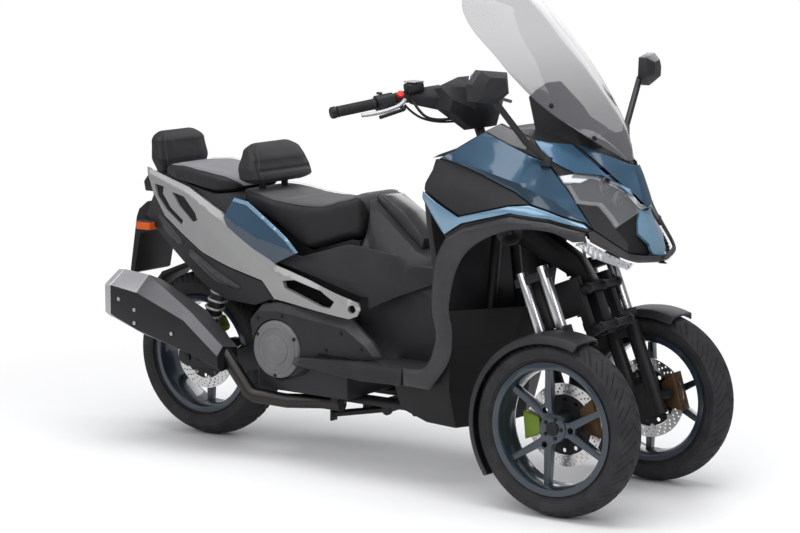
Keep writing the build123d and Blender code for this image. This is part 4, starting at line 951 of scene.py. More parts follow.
class TRIKE_OT_wheels(bpy.types.Operator):
    """Makes the tyres, cast wheels and drilled brake discs"""
    bl_idname = "trike.wheels"
    bl_label = "Wheels"

    def execute(self, context):
        steps = 720
        for name, centre, radius, width, bead, disc_r, pitches, out in WHEELS:
            body = f"wheel_{name}"
            new_piece(f"tyre_{name}_cut", tyre_mesh(centre, radius, width, bead, steps, pitches),
                      "rubber", body, "tyre", f"tyre_{name}")
            dressed(f"rim_{name}", "wheel_paint", 0.0022, segments=3, angle=28)
            face = centre[1] - out * (DISC_FACE + DISC_T / 2)
            ring = drilled_ring(centre, face, disc_r - 0.034, disc_r, DISC_T,
                                [(disc_r - 0.007, 30, 0), (disc_r - 0.0165, 30, 0.35),
                                 (disc_r - 0.026, 30, 0.7)], sizes().hole_radius)
            carrier = drilled_ring(centre, face, 0.0206, disc_r - 0.0355, DISC_T,
                                   [(0.036, 6, 0.5), (0.078, 12, 0.0)], 0.007)
            outer = (centre[0], face - out * DISC_T / 2, centre[2])
            bobbins = [(wheelwise(outer, 0, disc_r - 0.035, a), (0, -out, 0))
                       for a in around(8, 0.2)]
            new_piece(f"disc_{name}_drilled", ring, "disc", body, "disc_steel", f"disc_{name}")
            new_piece(f"disc_{name}_carrier", carrier, "black_metal", body, "disc_steel")
            scatter_piece(f"disc_{name}_bobbins", bobbins, bolt_mesh(0.006, 0.003, 16), "disc",
                          body, "disc_steel")
            bolts = [(wheelwise(centre, out * HUB_FACE, 0.030, a), (0, out, 0)) for a in around(5)]
            scatter_piece(f"hub_bolts_{name}", bolts, screw(0.005), "black_metal", body,
                          "rim_paint")
            cap = turned([(out * HUB_FACE, 0.0001), (out * HUB_FACE, 0.021),
                          (out * 0.0385, 0.0205), (out * 0.0405, 0.018), (out * 0.041, 0.0001)],
                         centre, steps=40)
            new_piece(f"hub_cap_{name}", smooth(cap, 30), "black_metal", body, "rim_paint")
        return {"FINISHED"}


# ------------------------------------------------------------------ painted bodywork
# Side-view outlines in millimetres, forward then up.
SIDE_UPPER = [(352, 1058), (411, 1053), (515, 1021), (634, 975), (688, 941), (733, 926), (827, 887),
              (849, 866), (799, 943), (736, 1026), (706, 1062), (499, 1147), (411, 1086)]
# The pale band above the wheel arch and its foot line: an up-facing wedge that is finished in
# painted highlight.
SIDE_HIGHLIGHT_BAND = [(308, 940), (312, 957), (455, 889), (626, 933), (686, 939), (733, 924), (827, 885),
               (840, 868), (746, 899), (635, 914), (465, 870), (396, 829)]
SIDE_SILL = [(305, 936), (396, 827), (465, 868), (635, 912), (746, 897), (845, 866), (838, 861),
             (746, 888), (635, 903), (470, 859), (398, 818)]
INSET = [(313, 960), (314, 980), (352, 1055), (411, 1051), (515, 1019), (634, 973), (685, 941),
         (626, 936), (455, 892)]
HIGHLIGHT_BAND_FOOT = [(308, 938), (398, 818), (470, 859), (635, 903), (838, 861)]
INSET_RIDGE = [(330, 985), (500, 960), (680, 940)]
CREASE = [(352, 1062), (470, 1047), (560, 1025), (650, 1001), (740, 955), (848, 878)]
CREASE_EDGE = CREASE[1:-1] + [(824, 895)]
COWL_TOP = [(730, 1111), (880, 1048), (945, 975), (932, 924), (925, 923), (900, 958), (814, 1037)]
COWL_WING = [(650, 1128), (725, 1112), (808, 1036), (895, 959), (884, 978), (807, 1022),
             (766, 1030), (702, 1072)]
WING_RIDGE = [(690, 1112), (790, 1034), (880, 981)]
MIRROR_FACET = [(503, 1148), (546, 1170), (640, 1131), (640, 1098), (585, 1113)]
BACKING = [(308, 932), (313, 978), (352, 1058), (411, 1082), (499, 1143), (702, 1060), (732, 1024),
           (795, 943), (845, 866), (838, 846), (746, 874), (635, 888), (470, 844), (402, 806)]
LAMP = [(736, 1026), (766, 1030), (807, 1022), (884, 978), (926, 920), (892, 868), (841, 933),
        (799, 943)]
LAMP_BLOCK = [(744, 1022), (766, 1026), (803, 1018), (790, 1002), (756, 1004)]
LAMP_STRIP = [(764, 996), (772, 996), (803, 952), (845, 941), (896, 877), (891, 868), (840, 932),
              (798, 943)]
LAMP_BROW = [(766, 1029), (807, 1021), (884, 977), (926, 919), (920, 916), (880, 968), (806, 1010),
             (768, 1017)]
CHEEK = [(799, 943), (841, 933), (892, 868), (930, 822), (935, 796), (849, 866)]
BEAK = [(892, 868), (926, 920), (985, 885), (992, 770), (935, 796), (930, 822)]
FIN = [(920, 912), (938, 913), (992, 874), (992, 782), (968, 783), (958, 815), (936, 848),
       (926, 880)]
CHIN = [(849, 866), (935, 796), (992, 770), (992, 751), (946, 764), (846, 832), (838, 861)]
CHIN_RIDGE = [(840, 850), (935, 782), (992, 753)]
STRIP = [(846, 832), (946, 762), (932, 740), (852, 788), (812, 830)]
WHOLE_NOSE = [(650, 1128), (880, 1048), (945, 975), (985, 885), (992, 772), (946, 775), (846, 836),
              (838, 861), (849, 866), (799, 943), (736, 1026), (702, 1072)]


def from_line(line, x, z):
    """Signed distance from an open line, positive above it."""
    best, sign = 1e9, 1
    p = Vector((x, z))
    for a, b in zip(line, line[1:]):
        a, b = Vector(a), Vector(b)
        t = max(0, min(1, (p - a).dot(b - a) / (b - a).length_squared))
        q = a + (b - a) * t
        if (p - q).length < best:
            best = (p - q).length
            sign = 1 if (b - a).x * (p - a).y - (b - a).y * (p - a).x > 0 else -1
    return best * sign


def share_of(value, reach):
    """How much of a reach is used up, from 0 to 1."""
    return min(1, max(0, value / reach))


def ridge(line, height, reach):
    """A lift that is highest along a line and fades out at its reach."""
    return lambda x, z: height * max(0, 1 - abs(from_line(line, x, z)) / reach)


CREASE_HEIGHT, ABOVE_CREASE, BELOW_CREASE = 17, 95, 55


def creased(x, z):
    """The side panel's crease, and its rim rolled in towards the dark inset."""
    d = from_line(CREASE, x, z)
    lift = CREASE_HEIGHT * max(0, 1 - d / ABOVE_CREASE if d > 0 else 1 + d / BELOW_CREASE)
    fade = share_of(x - 352, 60) * share_of(860 - x, 160)
    return lift * fade - 5 * math.exp(-from_edge(INSET, x, z) / 7)


def shade_painted_below(mesh, line):
    """Faces below a side-view line take the second finish, painted shade: a darker copy of the
    paint.
    """
    for face in mesh.polygons:
        middle = face.center * 1000
        face.material_index = 1 if from_line(line, middle.x, middle.z) < 0 else 0
    return mesh


def skin_pair(skin, wall=None, edge=0.0012, merge=False, keep=38):
    """A right-hand skin given its wall and mirrored to the left."""
    wall = sizes().panel_wall if wall is None else wall
    return smooth(mirrored(shell(skin, wall, edge, keep), merge), keep)


class TRIKE_OT_bodywork(bpy.types.Operator):
    """Makes the painted fairing, the nose and their dark insets"""
    bl_idname = "trike.bodywork"
    bl_label = "Bodywork"

    def execute(self, context):
        gap = sizes().panel_gap * 1000
        upper = side_skin(shrunk(SIDE_UPPER, gap), FAIRING, -4, 8, creased, lines=[CREASE_EDGE])
        sill = side_skin(shrunk(SIDE_SILL, 0.4), FAIRING, -7)
        # The pale band leans out towards its foot so that it faces up, and it takes the paler paint
        # as painted highlight.
        highlight_band = side_skin(shrunk(SIDE_HIGHLIGHT_BAND, 0.6), FAIRING, 0,
                           lift=lambda x, z: 6 * min(1, from_line(HIGHLIGHT_BAND_FOOT, x, z) / 30) - 2)
        # Faces below the crease take a darker copy of the paint as painted shade.
        new_piece("fairing_upper", shade_painted_below(skin_pair(upper, keep=14), CREASE),
                  ["paint", "paint_painted_shade"], "chassis", "blue_paint", "fairing_sides")
        new_piece("fairing_stripe", skin_pair(highlight_band, keep=25), "paint_light", "chassis",
                  "blue_paint")
        new_piece("fairing_sill", skin_pair(sill), "plastic_gloss", "chassis", "dark_plastic")
        backing = side_skin(BACKING, FAIRING, -13, cell=24)
        new_piece("fairing_backing", skin_pair(backing, 0.002, 0.0005), "plastic_dark", "chassis",
                  "dark_plastic")
        inset = side_skin(shrunk(INSET, 0.8), FAIRING, -6, lift=ridge(INSET_RIDGE, 3.0, 60))
        new_piece("fairing_inset_skin", skin_pair(inset, keep=20), "plastic", "chassis",
                  "dark_plastic", "fairing_insets")
        top = nose_skin(shrunk(COWL_TOP, gap), FAIRING, 3.0)
        wing = nose_skin(shrunk(COWL_WING, gap), FAIRING, 1.0, row=5,
                         lift=ridge(WING_RIDGE, 7, 26))
        vents = nose_skin(shrunk(BEAK, gap), FAIRING, -22.0, row=5)
        fin = nose_skin(FIN, FAIRING, -11.0, row=5,
                        lift=lambda x, z: 7 * share_of(x - 925, 20))
        new_piece("cowl_top", skin_pair(top, merge=True, keep=24), "paint", "chassis",
                  "blue_paint", "nose_cowl")
        # The cowl wings take a lighter copy of the paint as painted highlight.
        new_piece("cowl_wings", skin_pair(wing, keep=14), "paint_wing", "chassis", "blue_paint")
        facet = side_skin(MIRROR_FACET, FAIRING, 1.5)
        new_piece("mirror_facets", skin_pair(facet, 0.003), "plastic_grey", "chassis",
                  "dark_plastic")
        new_piece("nose_vents", skin_pair(vents, merge=True, keep=24), "plastic_dark", "chassis",
                  "dark_plastic")
        # The fin takes the paler paint as painted highlight.
        new_piece("nose_fin", skin_pair(fin, 0.010, merge=True, keep=20), "paint_light", "chassis",
                  "blue_paint")
        cheek = nose_skin(shrunk(CHEEK, gap), FAIRING, -1.0, row=5)
        chin = nose_skin(shrunk(CHIN, gap), FAIRING, 4.0, row=4, lift=ridge(CHIN_RIDGE, 6, 14))
        new_piece("cheeks", skin_pair(cheek, merge=True, keep=24), "plastic", "chassis",
                  "dark_plastic", "nose_cheeks")
        new_piece("chin", skin_pair(chin, 0.007, merge=True, keep=18), "plastic_satin", "chassis",
                  "dark_plastic")
        behind = nose_skin(shrunk(WHOLE_NOSE, 3), FAIRING, -30, row=14, columns=16)
        new_piece("nose_backing", skin_pair(behind, 0.002, 0.0005, True), "plastic_dark",
                  "chassis", "dark_plastic")
        return {"FINISHED"}


# forward, up and radius of each headlamp projector, the radius in metres
PROJECTORS = [(836, 986, 0.026), (872, 944, 0.021)]


def facing(place, direction):
    """A turn and shift that carries +Z to a direction at a place."""
    turn = Vector(direction).to_track_quat("Z", "Y").to_matrix().to_4x4()
    return Matrix.Translation(place) @ turn


def dome(radius, height):
    """A shallow lens standing on its own origin along Z, closed at its foot."""
    segments, rings = 32, 8
    vertices, faces = [], []
    for r in range(rings):
        a = math.pi / 2 * r / rings
        reach = radius * math.cos(a)
        vertices += [(reach * math.cos(t), reach * math.sin(t), height * math.sin(a))
                     for t in around(segments)]
    vertices.append((0, 0, height))
    for r in range(rings - 1):
        for s in range(segments):
            t = (s + 1) % segments
            faces.append((r * segments + s, r * segments + t, (r + 1) * segments + t,
                          (r + 1) * segments + s))
    last = (rings - 1) * segments
    faces += [(last + s, last + (s + 1) % segments, len(vertices) - 1) for s in range(segments)]
    faces.append(tuple(range(segments))[::-1])
    return built(vertices, faces)


def moved(mesh, matrix):
    mesh = mesh.copy()
    mesh.transform(matrix)
    return mesh


class TRIKE_OT_lamps(bpy.types.Operator):
    """Makes the headlamps, the clear strips, the tail lamp and the indicators"""
    bl_idname = "trike.lamps"
    bl_label = "Lamps"

    def execute(self, context):
        lens = nose_skin(shrunk(LAMP, 1.0), FAIRING, -1.5, row=5)
        new_piece("headlamp_lens", skin_pair(lens, 0.0025, 0.0006), "lens", "chassis",
                  "lamp_glass", "headlamps")
        bowl = nose_skin(shrunk(LAMP, 1.5), FAIRING, -25, row=7)
        new_piece("headlamp_bowl", skin_pair(bowl, 0.002, 0.0005), "plastic_gloss", "chassis",
                  "lamp_glass")
        rim = nose_skin(shrunk(LAMP_BROW, 0.2), FAIRING, -4, row=3)
        new_piece("headlamp_brow", skin_pair(rim, 0.006, 0.0008), "lamp_bowl", "chassis",
                  "lamp_glass")
        block = nose_skin(LAMP_BLOCK, FAIRING, -6, row=4)
        strip = nose_skin(LAMP_STRIP, FAIRING, -6, row=3, columns=8)
        new_piece("running_light", skin_pair(block, 0.006, 0.0006), "lamp_white", "chassis",
                  "lamp_glass")
        new_piece("lamp_sills", skin_pair(strip, 0.006, 0.0006), "plastic_grey", "chassis",
                  "lamp_glass")
        rings, glasses = [], []
        for side in (RIGHT, LEFT):
            for x, z, radius in PROJECTORS:
                y = side * (half_at(FAIRING, x, z) - 24) / 1000
                place = Vector((x / 1000 - 0.012, y, z / 1000))
                at = facing(place, (0.96, side * 0.20, -0.05))
                glasses.append(moved(dome(radius, radius * 0.55), at))
                ring = turned([(0, radius * 1.02), (0.004, radius * 1.02), (0.006, radius * 1.2),
                               (0.002, radius * 1.34), (-0.008, radius * 1.3), (-0.008, radius)],
                              (0, 0, 0), steps=40)
                ring.transform(Matrix.Rotation(math.pi / 2, 4, "X"))
                rings.append(moved(ring, at))
        new_piece("projector_rings", smooth(joined(*rings), 35), "can_grey", "chassis",
                  "lamp_glass")
        new_piece("projector_glasses", smooth(joined(*glasses), 40), "plastic_gloss", "chassis",
                  "lamp_glass")
        clear_strip = nose_skin(shrunk(STRIP, 1.0), FAIRING, -1, row=3)
        ribs = nose_skin(shrunk(STRIP, 2.5), FAIRING, -6, row=3, columns=40,
                         lift=lambda x, z: 2.5 * math.cos(x * 0.55))
        new_piece("front_strip_lens", skin_pair(clear_strip, 0.002, 0.0005, keep=25), "lens",
                  "chassis", "lamp_glass", "front_indicators")
        new_piece("front_strip_ribs", skin_pair(ribs, 0.002, 0.0004, keep=12), "lamp_bowl",
                  "chassis", "lamp_glass")
        zoned("tail_lamp", ["plastic_gloss", "red"],
              lambda place, normal: 1 if normal.x < -0.6 else 0, 0.004, segments=3)
        zoned("rear_indicators", ["orange", "plastic_satin"],
              lambda place, normal: 1 if place.z > 0.7395 else 0, 0.004, segments=3)
        return {"FINISHED"}


# ------------------------------------------------------------------ cushions
def power(value, exponent):
    """A power that keeps its value's sign."""
    return math.copysign(abs(value) ** exponent, value)


def along_line(line, x):
    """Height of an open line at a forward place, eased between its points."""
    line = sorted(line)
    if x <= line[0][0]:
        return line[0][1]
    for (x0, z0), (x1, z1) in zip(line, line[1:]):
        if x <= x1:
            t = (x - x0) / (x1 - x0)
            t = t * t * (3 - 2 * t) * 0.5 + t * 0.5
            return z0 + (z1 - z0) * t
    return line[-1][1]


PAD_POINTS = 120         # points round a pad
SEAM_WIDTH, CROSS_WIDTH = 0.045, 0.006
PIPING_PROUD = 0.0006    # how far the piping stands out of its seam
STITCH_R, STITCH_HALF, STITCH_PITCH = 0.0007, 0.0026, 0.0075


def fullness(rings, ends):
    """Each ring's place along its pad and the pad's length, in metres, and how full the ring
    is, from 0 at an end up to 1."""
    total = [0.0]
    for a, b in zip(rings, rings[1:]):
        total.append(total[-1] + (Vector(b[0]) - Vector(a[0])).length)
    for place in total:
        near = min(place / ends[0], (total[-1] - place) / ends[1], 1.0)
        yield place, total[-1], math.sqrt(max(0.0, 1 - (1 - near) ** 2))


def narrowed(full):
    """The share of its half width that a ring keeps."""
    return 0.72 + 0.28 * full


def pad_mesh(rings, seam, sharp, ends, cross):
    """A stuffed pad through closed rings.

    A ring is (centre, half width, thickness above, thickness below, direction above).
    seam is the place of the side seams, as the sine of the angle up from the ring's middle.
    sharp is how square the ring is, ends how far each end is rounded, in metres.
    cross lists where seams run across, as a share of the length."""
    depth = sizes().seam_depth
    vertices, faces, marks = [], [], []
    for ring, (place, length, full) in zip(rings, fullness(rings, ends)):
        middle, half, above, below, up = Vector(ring[0]), *ring[1:4], Vector(ring[4])
        share = place / length
        pinch_across = sum(math.exp(-((share - c) * length / CROSS_WIDTH) ** 2) for c in cross)
        for t in around(PAD_POINTS):
            c, s = math.cos(t), math.sin(t)
            reach = above if s > 0 else below
            y = half * narrowed(full) * power(c, sharp)
            rise = reach * full * power(s, sharp if s > 0 else sharp * 0.8)
            seam_near = math.exp(-((s - seam) / SEAM_WIDTH) ** 2)
            pull = depth * (seam_near + (pinch_across if s > seam else 0)) * full
            p = middle + up * rise + Vector((0, 1, 0)) * y
            away = (up * s + Vector((0, 1, 0)) * c).normalized()
            wrinkle = noise.noise(p * 22) * 0.0014 + noise.noise(p * 60) * 0.0004
            vertices.append(p - away * pull + away * wrinkle * full)
            marks.append(s > seam)
    size = PAD_POINTS
    for k in range(len(rings) - 1):
        for n in range(size):
            m = (n + 1) % size
            faces.append((k * size + n, k * size + m, (k + 1) * size + m, (k + 1) * size + n))
    faces.append(tuple(range(size))[::-1])
    faces.append(tuple((len(rings) - 1) * size + n for n in range(size)))

    def mark(work):
        work.verts.ensure_lookup_table()
        for face in work.faces:
            face.material_index = 0 if all(marks[v.index] for v in face.verts) else 1

    return smooth(worked(built(vertices, faces), mark, outward), 60)


def seam_line(rings, seam, sharp, ends, side):
    """The line of one side seam of a pad, for its piping and stitches."""
    line = []
    t = math.asin(seam)
    across = Vector((0, side, 0))
    for (centre, half, above, _, up), (_, _, full) in zip(rings, fullness(rings, ends)):
        if full < 0.45:
            continue
        p = (Vector(centre) + Vector(up) * (above * full * power(math.sin(t), sharp))
             + across * (half * narrowed(full) * power(math.cos(t), sharp)))
        away = (Vector(up) * seam + across * math.cos(t)).normalized()
        line.append(p - away * (sizes().seam_depth - PIPING_PROUD))
    return line


def stitch_item():
    """One stitch about its own middle, along Z."""
    sides, bands = 8, 6
    vertices = [(STITCH_R * math.sin(a) * math.cos(t), STITCH_R * math.sin(a) * math.sin(t),
                 STITCH_HALF * math.cos(a))
                for a in (math.pi * n / bands for n in range(1, bands)) for t in around(sides)]
    foot = len(vertices) - sides
    vertices += [(0, 0, STITCH_HALF), (0, 0, -STITCH_HALF)]
    faces = []
    for n in range(sides):
        m = (n + 1) % sides
        faces += [(k + n, k + n + sides, k + m + sides, k + m) for k in range(0, foot, sides)]
        faces += [(foot + sides, n, m), (foot + sides + 1, foot + m, foot + n)]
    return built(vertices, faces)


def stitched(line, offset):
    """Spots for stitches at an even pitch along a line."""
    spots, run, want = [], 0.0, 0.0
    for a, b in zip(line, line[1:]):
        length = (b - a).length
        while want <= run + length:
            spots.append((a + (b - a) * ((want - run) / max(length, 1e-9)) + offset,
                          (b - a).normalized()))
            want += STITCH_PITCH
        run += length
    return spots


# Side-view lines of the two seats, forward then up, and their half widths, forward then half.
RIDER_TOP = [(-566, 868), (-548, 884), (-480, 878), (-400, 864), (-300, 861), (-210, 863),
             (-130, 884), (-90, 897), (-66, 894)]
RIDER_UNDER = [(-566, 862), (-440, 802), (-256, 706), (-94, 753), (-64, 752)]
RIDER_HALF = [(-566, 118), (-500, 152), (-400, 166), (-256, 168), (-150, 150), (-64, 118)]
PILLION_TOP = [(-896, 934), (-870, 946), (-800, 950), (-720, 940), (-640, 928), (-590, 905)]
PILLION_UNDER = [(-896, 910), (-780, 886), (-650, 864), (-590, 870)]
PILLION_HALF = [(-896, 126), (-820, 152), (-720, 159), (-640, 150), (-590, 118)]


def seat_rings(rear, front, top, under, half, edge, steps):
    """Rings of a lying pad.  edge is the height of its widest place, as a share of the pad's."""
    rings = []
    for n in range(steps + 1):
        x = rear + (front - rear) * n / steps
        high, low = along_line(top, x) / 1000, along_line(under, x) / 1000
        middle = low + (high - low) * edge
        rings.append(((x / 1000, 0, middle), along_line(half, x) / 1000, high - middle,
                      middle - low, (0, 0, 1)))
    return rings


def back_rings(foot, top, rear, front, half, steps):
    """Rings of a standing pad.  rear and front are lines of (up, forward)."""
    rings = []
    for n in range(steps + 1):
        z = foot + (top - foot) * n / steps
        a, b = along_line(rear, z) / 1000, along_line(front, z) / 1000
        middle = a + (b - a) * 0.4
        rings.append(((middle, 0, z / 1000), along_line(half, z) / 1000, b - middle, middle - a,
                      (1, 0, 0)))
    return rings


def cushions():
    """Each pad's name, node, body, rings, seam, squareness, end rounding, cross seams and fill."""
    return [
        ("rider_cushion", "rider_seat", "seat",
         seat_rings(-564, -65, RIDER_TOP, RIDER_UNDER, RIDER_HALF, 0.55, 110),
         0.62, 0.42, (0.030, 0.022), (0.40, 0.78), 0.6),
        ("passenger_cushion", "passenger_seat", "seat",
         seat_rings(-895, -587, PILLION_TOP, PILLION_UNDER, PILLION_HALF, 0.45, 80),
         0.66, 0.42, (0.022, 0.030), (0.5,), 0.6),
        ("rider_back_pad", "rider_backrest", "seat",
         back_rings(898, 1034, [(898, -556), (960, -558), (1034, -548)],
                    [(898, -470), (918, -458), (980, -482), (1034, -520)],
                    [(898, 134), (920, 160), (950, 162), (1010, 138), (1034, 112)], 64),
         0.70, 0.46, (0.024, 0.024), (0.34,), 0.7),
        ("passenger_back_pad", "passenger_backrest", "chassis",
         back_rings(908.5, 1051, [(908, -944), (960, -958), (1051, -964)],
                    [(908, -904), (958, -899), (1020, -912), (1051, -932)],
                    [(908, 112), (960, 131), (1020, 124), (1051, 100)], 64),
         0.70, 0.46, (0.010, 0.022), (), 0.7),
    ]


class TRIKE_OT_cushions(bpy.types.Operator):
    """Makes the seats and backrests with their piping and stitches"""
    bl_idname = "trike.cushions"
    bl_label = "Cushions"

    def execute(self, context):
        for name, node, body, rings, seam, sharp, ends, cross, fill in cushions():
            pair = {"rider_seat": ["vinyl", "vinyl_black"],
                    "passenger_seat": ["vinyl_light", "vinyl_black"]}.get(node, ["vinyl_black"] * 2)
            mesh = pad_mesh(rings, seam, sharp, ends, cross)
            pad = new_piece(name, mesh, pair, body, "seat_vinyl", node)
            pipes, spots = [], []
            for side in (RIGHT, LEFT):
                line = seam_line(rings, seam, sharp, ends, side)
                pipes.append(tube(line, 0.0022, 8))
                for shift in (0.0075, -0.0075):
                    up = Vector(rings[0][4]) * shift
                    spots += stitched(line, up + Vector((0, -side * shift * 0.5, 0)))
            new_piece(f"{name}_piping", smooth(joined(*pipes), 50), "vinyl_black", body,
                      "seat_vinyl")
            scatter_piece(f"{name}_stitches", spots, stitch_item(), "thread", body, "seat_vinyl")
        posts = [tube([(-0.520, y, 0.850), (-0.520, y, 0.880), (-0.522, y, 0.915)], 0.0115)
                 for y in (-0.06, 0.06)]
        new_piece("backrest_posts", smooth(joined(*posts), 40), "black_metal", "seat", "seat_vinyl")
        return {"FINISHED"}


# ------------------------------------------------------------------ windscreen
# height, side edge (forward, half width), quarter (forward, half width), middle forward
SCREEN = [
    (1060, (858, 22), (864, 12), 866),
    (1100, (812, 74), (838, 40), 846),
    (1155, (752, 140), (796, 78), 808),
    (1228, (665, 200), (732, 112), 755),
    (1315, (580, 234), (656, 132), 686),
    (1375, (522, 240), (602, 136), 636),
    (1460, (436, 246), (520, 140), 558),
    (1530, (386, 222), (450, 128), 486),
    (1574, (366, 150), (402, 88), 424),
]


def eased(values, t):
    """A smooth curve through evenly spaced values, t from 0 to their count less 1."""
    n = min(int(t), len(values) - 2)
    f = t - n
    p1, p2 = values[n], values[n + 1]
    p0 = values[n - 1] if n else p1 * 2 - p2
    p3 = values[n + 2] if n + 2 < len(values) else p2 * 2 - p1
    return hermite(p1, p2, (p2 - p0) * 0.5, (p3 - p1) * 0.5, f)


def screen_grid(first, last, inward, rows=44, columns=36):
    """A skin on the windscreen's face between two rows of its table.

    inward is its depth behind that face in metres, rows and columns count its faces."""
    lines = []
    for z, edge, quarter, middle in SCREEN:
        lines.append([Vector((edge[0], -edge[1], z)), Vector((quarter[0], -quarter[1], z)),
                      Vector((middle, 0, z)), Vector((quarter[0], quarter[1], z)),
                      Vector((edge[0], edge[1], z))])
    vertices = []
    for r in range(rows + 1):
        t = first + (last - first) * r / rows
        across = [eased([line[k] for line in lines], t) for k in range(5)]
        for c in range(columns + 1):
            p = eased(across, 4 * c / columns)
            vertices.append(p / 1000 - Vector((inward, 0, 0)))

    def forward(work):
        if sum(f.normal.x * f.calc_area() for f in work.faces) < 0:
            bmesh.ops.reverse_faces(work, faces=work.faces)

    return worked(built(vertices, grid_faces(rows, columns)), forward)


class TRIKE_OT_windscreen(bpy.types.Operator):
    """Makes the tinted windscreen with its dark foot"""
    bl_idname = "trike.windscreen"
    bl_label = "Windscreen"

    def execute(self, context):
        clear_part = shell(screen_grid(0.0, 7.93, 0.0005), 0.004, 0.0012, 40)
        new_piece("screen", clear_part, "screen", "chassis", "screen_clear", "windscreen")
        foot = shell(screen_grid(0.0, 1.8, 0.0060, 24, 28), 0.002, 0.0006, 40)
        new_piece("screen_foot", foot, "plastic", "chassis", "screen_clear")
        spots = []
        for row, side in ((1.6, -1), (1.6, 1), (3.0, -1), (3.0, 1)):
            lines = [[Vector((e[0], side * e[1], z)), Vector((q[0], side * q[1], z))]
                     for z, e, q, _ in SCREEN]
            edge, quarter = (eased([line[k] for line in lines], row) for k in (0, 1))
            spots.append(((edge * 0.75 + quarter * 0.25) / 1000 + Vector((0.001, 0, 0)),
                          (0.8, side * 0.5, 0.35)))
        scatter_piece("screen_screws", spots, bolt_mesh(0.006, 0.004), "black_metal", "chassis",
                      "screen_clear")
        return {"FINISHED"}


# ------------------------------------------------------------------ side frames and trims
TAIL = [
    (480, [(-1020, 120), (-800, 166), (-600, 200), (-350, 222), (40, 232)]),
    (700, [(-1020, 108), (-800, 156), (-600, 195), (-350, 215), (40, 226)]),
    (940, [(-1020, 94), (-800, 140), (-600, 182), (-350, 203), (40, 214)]),
]
SIDE_FRAME = [(-1000, 925), (-767, 875), (-602, 811), (-346, 655), (-187, 622), (-22, 577),
              (6, 566), (16, 545), (6, 524), (-22, 513), (-109, 522), (-350, 543), (-403, 598),
              (-560, 630), (-686, 664), (-792, 714), (-891, 766), (-958, 838)]
FRAME_WINDOW = [(-312, 607), (-304, 584), (-135, 541), (-97, 540), (-77, 564), (-135, 594),
                (-253, 616)]
REAR_SLOTS = [
    [(-952, 872), (-938, 832), (-888, 790), (-800, 744), (-792, 760), (-862, 798), (-905, 842),
     (-900, 866)],
    [(-856, 852), (-818, 808), (-742, 760), (-716, 768), (-728, 792), (-790, 842)],
]
FRAME_RIDGE = [(-985, 905), (-767, 852), (-598, 782), (-356, 636), (-187, 603), (-22, 560)]
UNDERTAIL_RIBS = [
    [(-925, 772), (-905, 762), (-810, 702), (-790, 680), (-806, 672), (-880, 706), (-932, 752)],
    [(-762, 664), (-742, 668), (-600, 604), (-500, 566), (-520, 556), (-620, 572), (-752, 640)],
]
BLUE_PANEL = [(-531, 864), (-576, 792), (-562, 762), (-420, 680), (-352, 657), (-233, 708),
              (-290, 752), (-470, 856)]
PANEL_FOLD = [(-570, 800), (-430, 742), (-250, 706)]
PANEL_CREASE = [(-566, 798), (-430, 742), (-256, 708)]
FRONT_HOLE = (-12, 545)  # the round hole at the side frame's front end
BLUE_EDGE = [(-529, 862), (-536, 850), (-474, 842), (-297, 740), (-246, 704), (-235, 708),
             (-290, 751), (-470, 855)]
ARCH_REAR = [(398, 818), (352, 740), (336, 600), (352, 500), (306, 402), (214, 388)]
ARCH_INNER = [(322, 332), (400, 430), (416, 520), (404, 612), (440, 736), (517, 812), (636, 862),
              (746, 862), (812, 832)]
ARCH_OUTER = [(838, 861), (746, 888), (635, 903), (470, 859), (398, 818)]


def through(points, steps):
    """A smooth open line through points."""
    made = []
    count = len(points)
    for n in range(count - 1):
        p0, p1 = Vector(points[max(n - 1, 0)]), Vector(points[n])
        p2, p3 = Vector(points[n + 1]), Vector(points[min(n + 2, count - 1)])
        for k in range(steps):
            made.append(tuple(hermite(p1, p2, (p2 - p0) * 0.5, (p3 - p1) * 0.5, k / steps)))
    return made + [tuple(points[-1])]


def ring_outline(centre, radius):
    return [(centre[0] + radius * math.cos(a), centre[1] + radius * math.sin(a))
            for a in around(24)]


def grown(outline, gap):
    return shrunk(outline, -gap)


def zoned(node, materials, pick, width, **more):
    """A dressed node whose faces take one of several finishes by place and direction."""
    piece = dressed(node, materials, width, **more)
    for face in piece.data.polygons:
        face.material_index = pick(face.center, face.normal)
    return piece


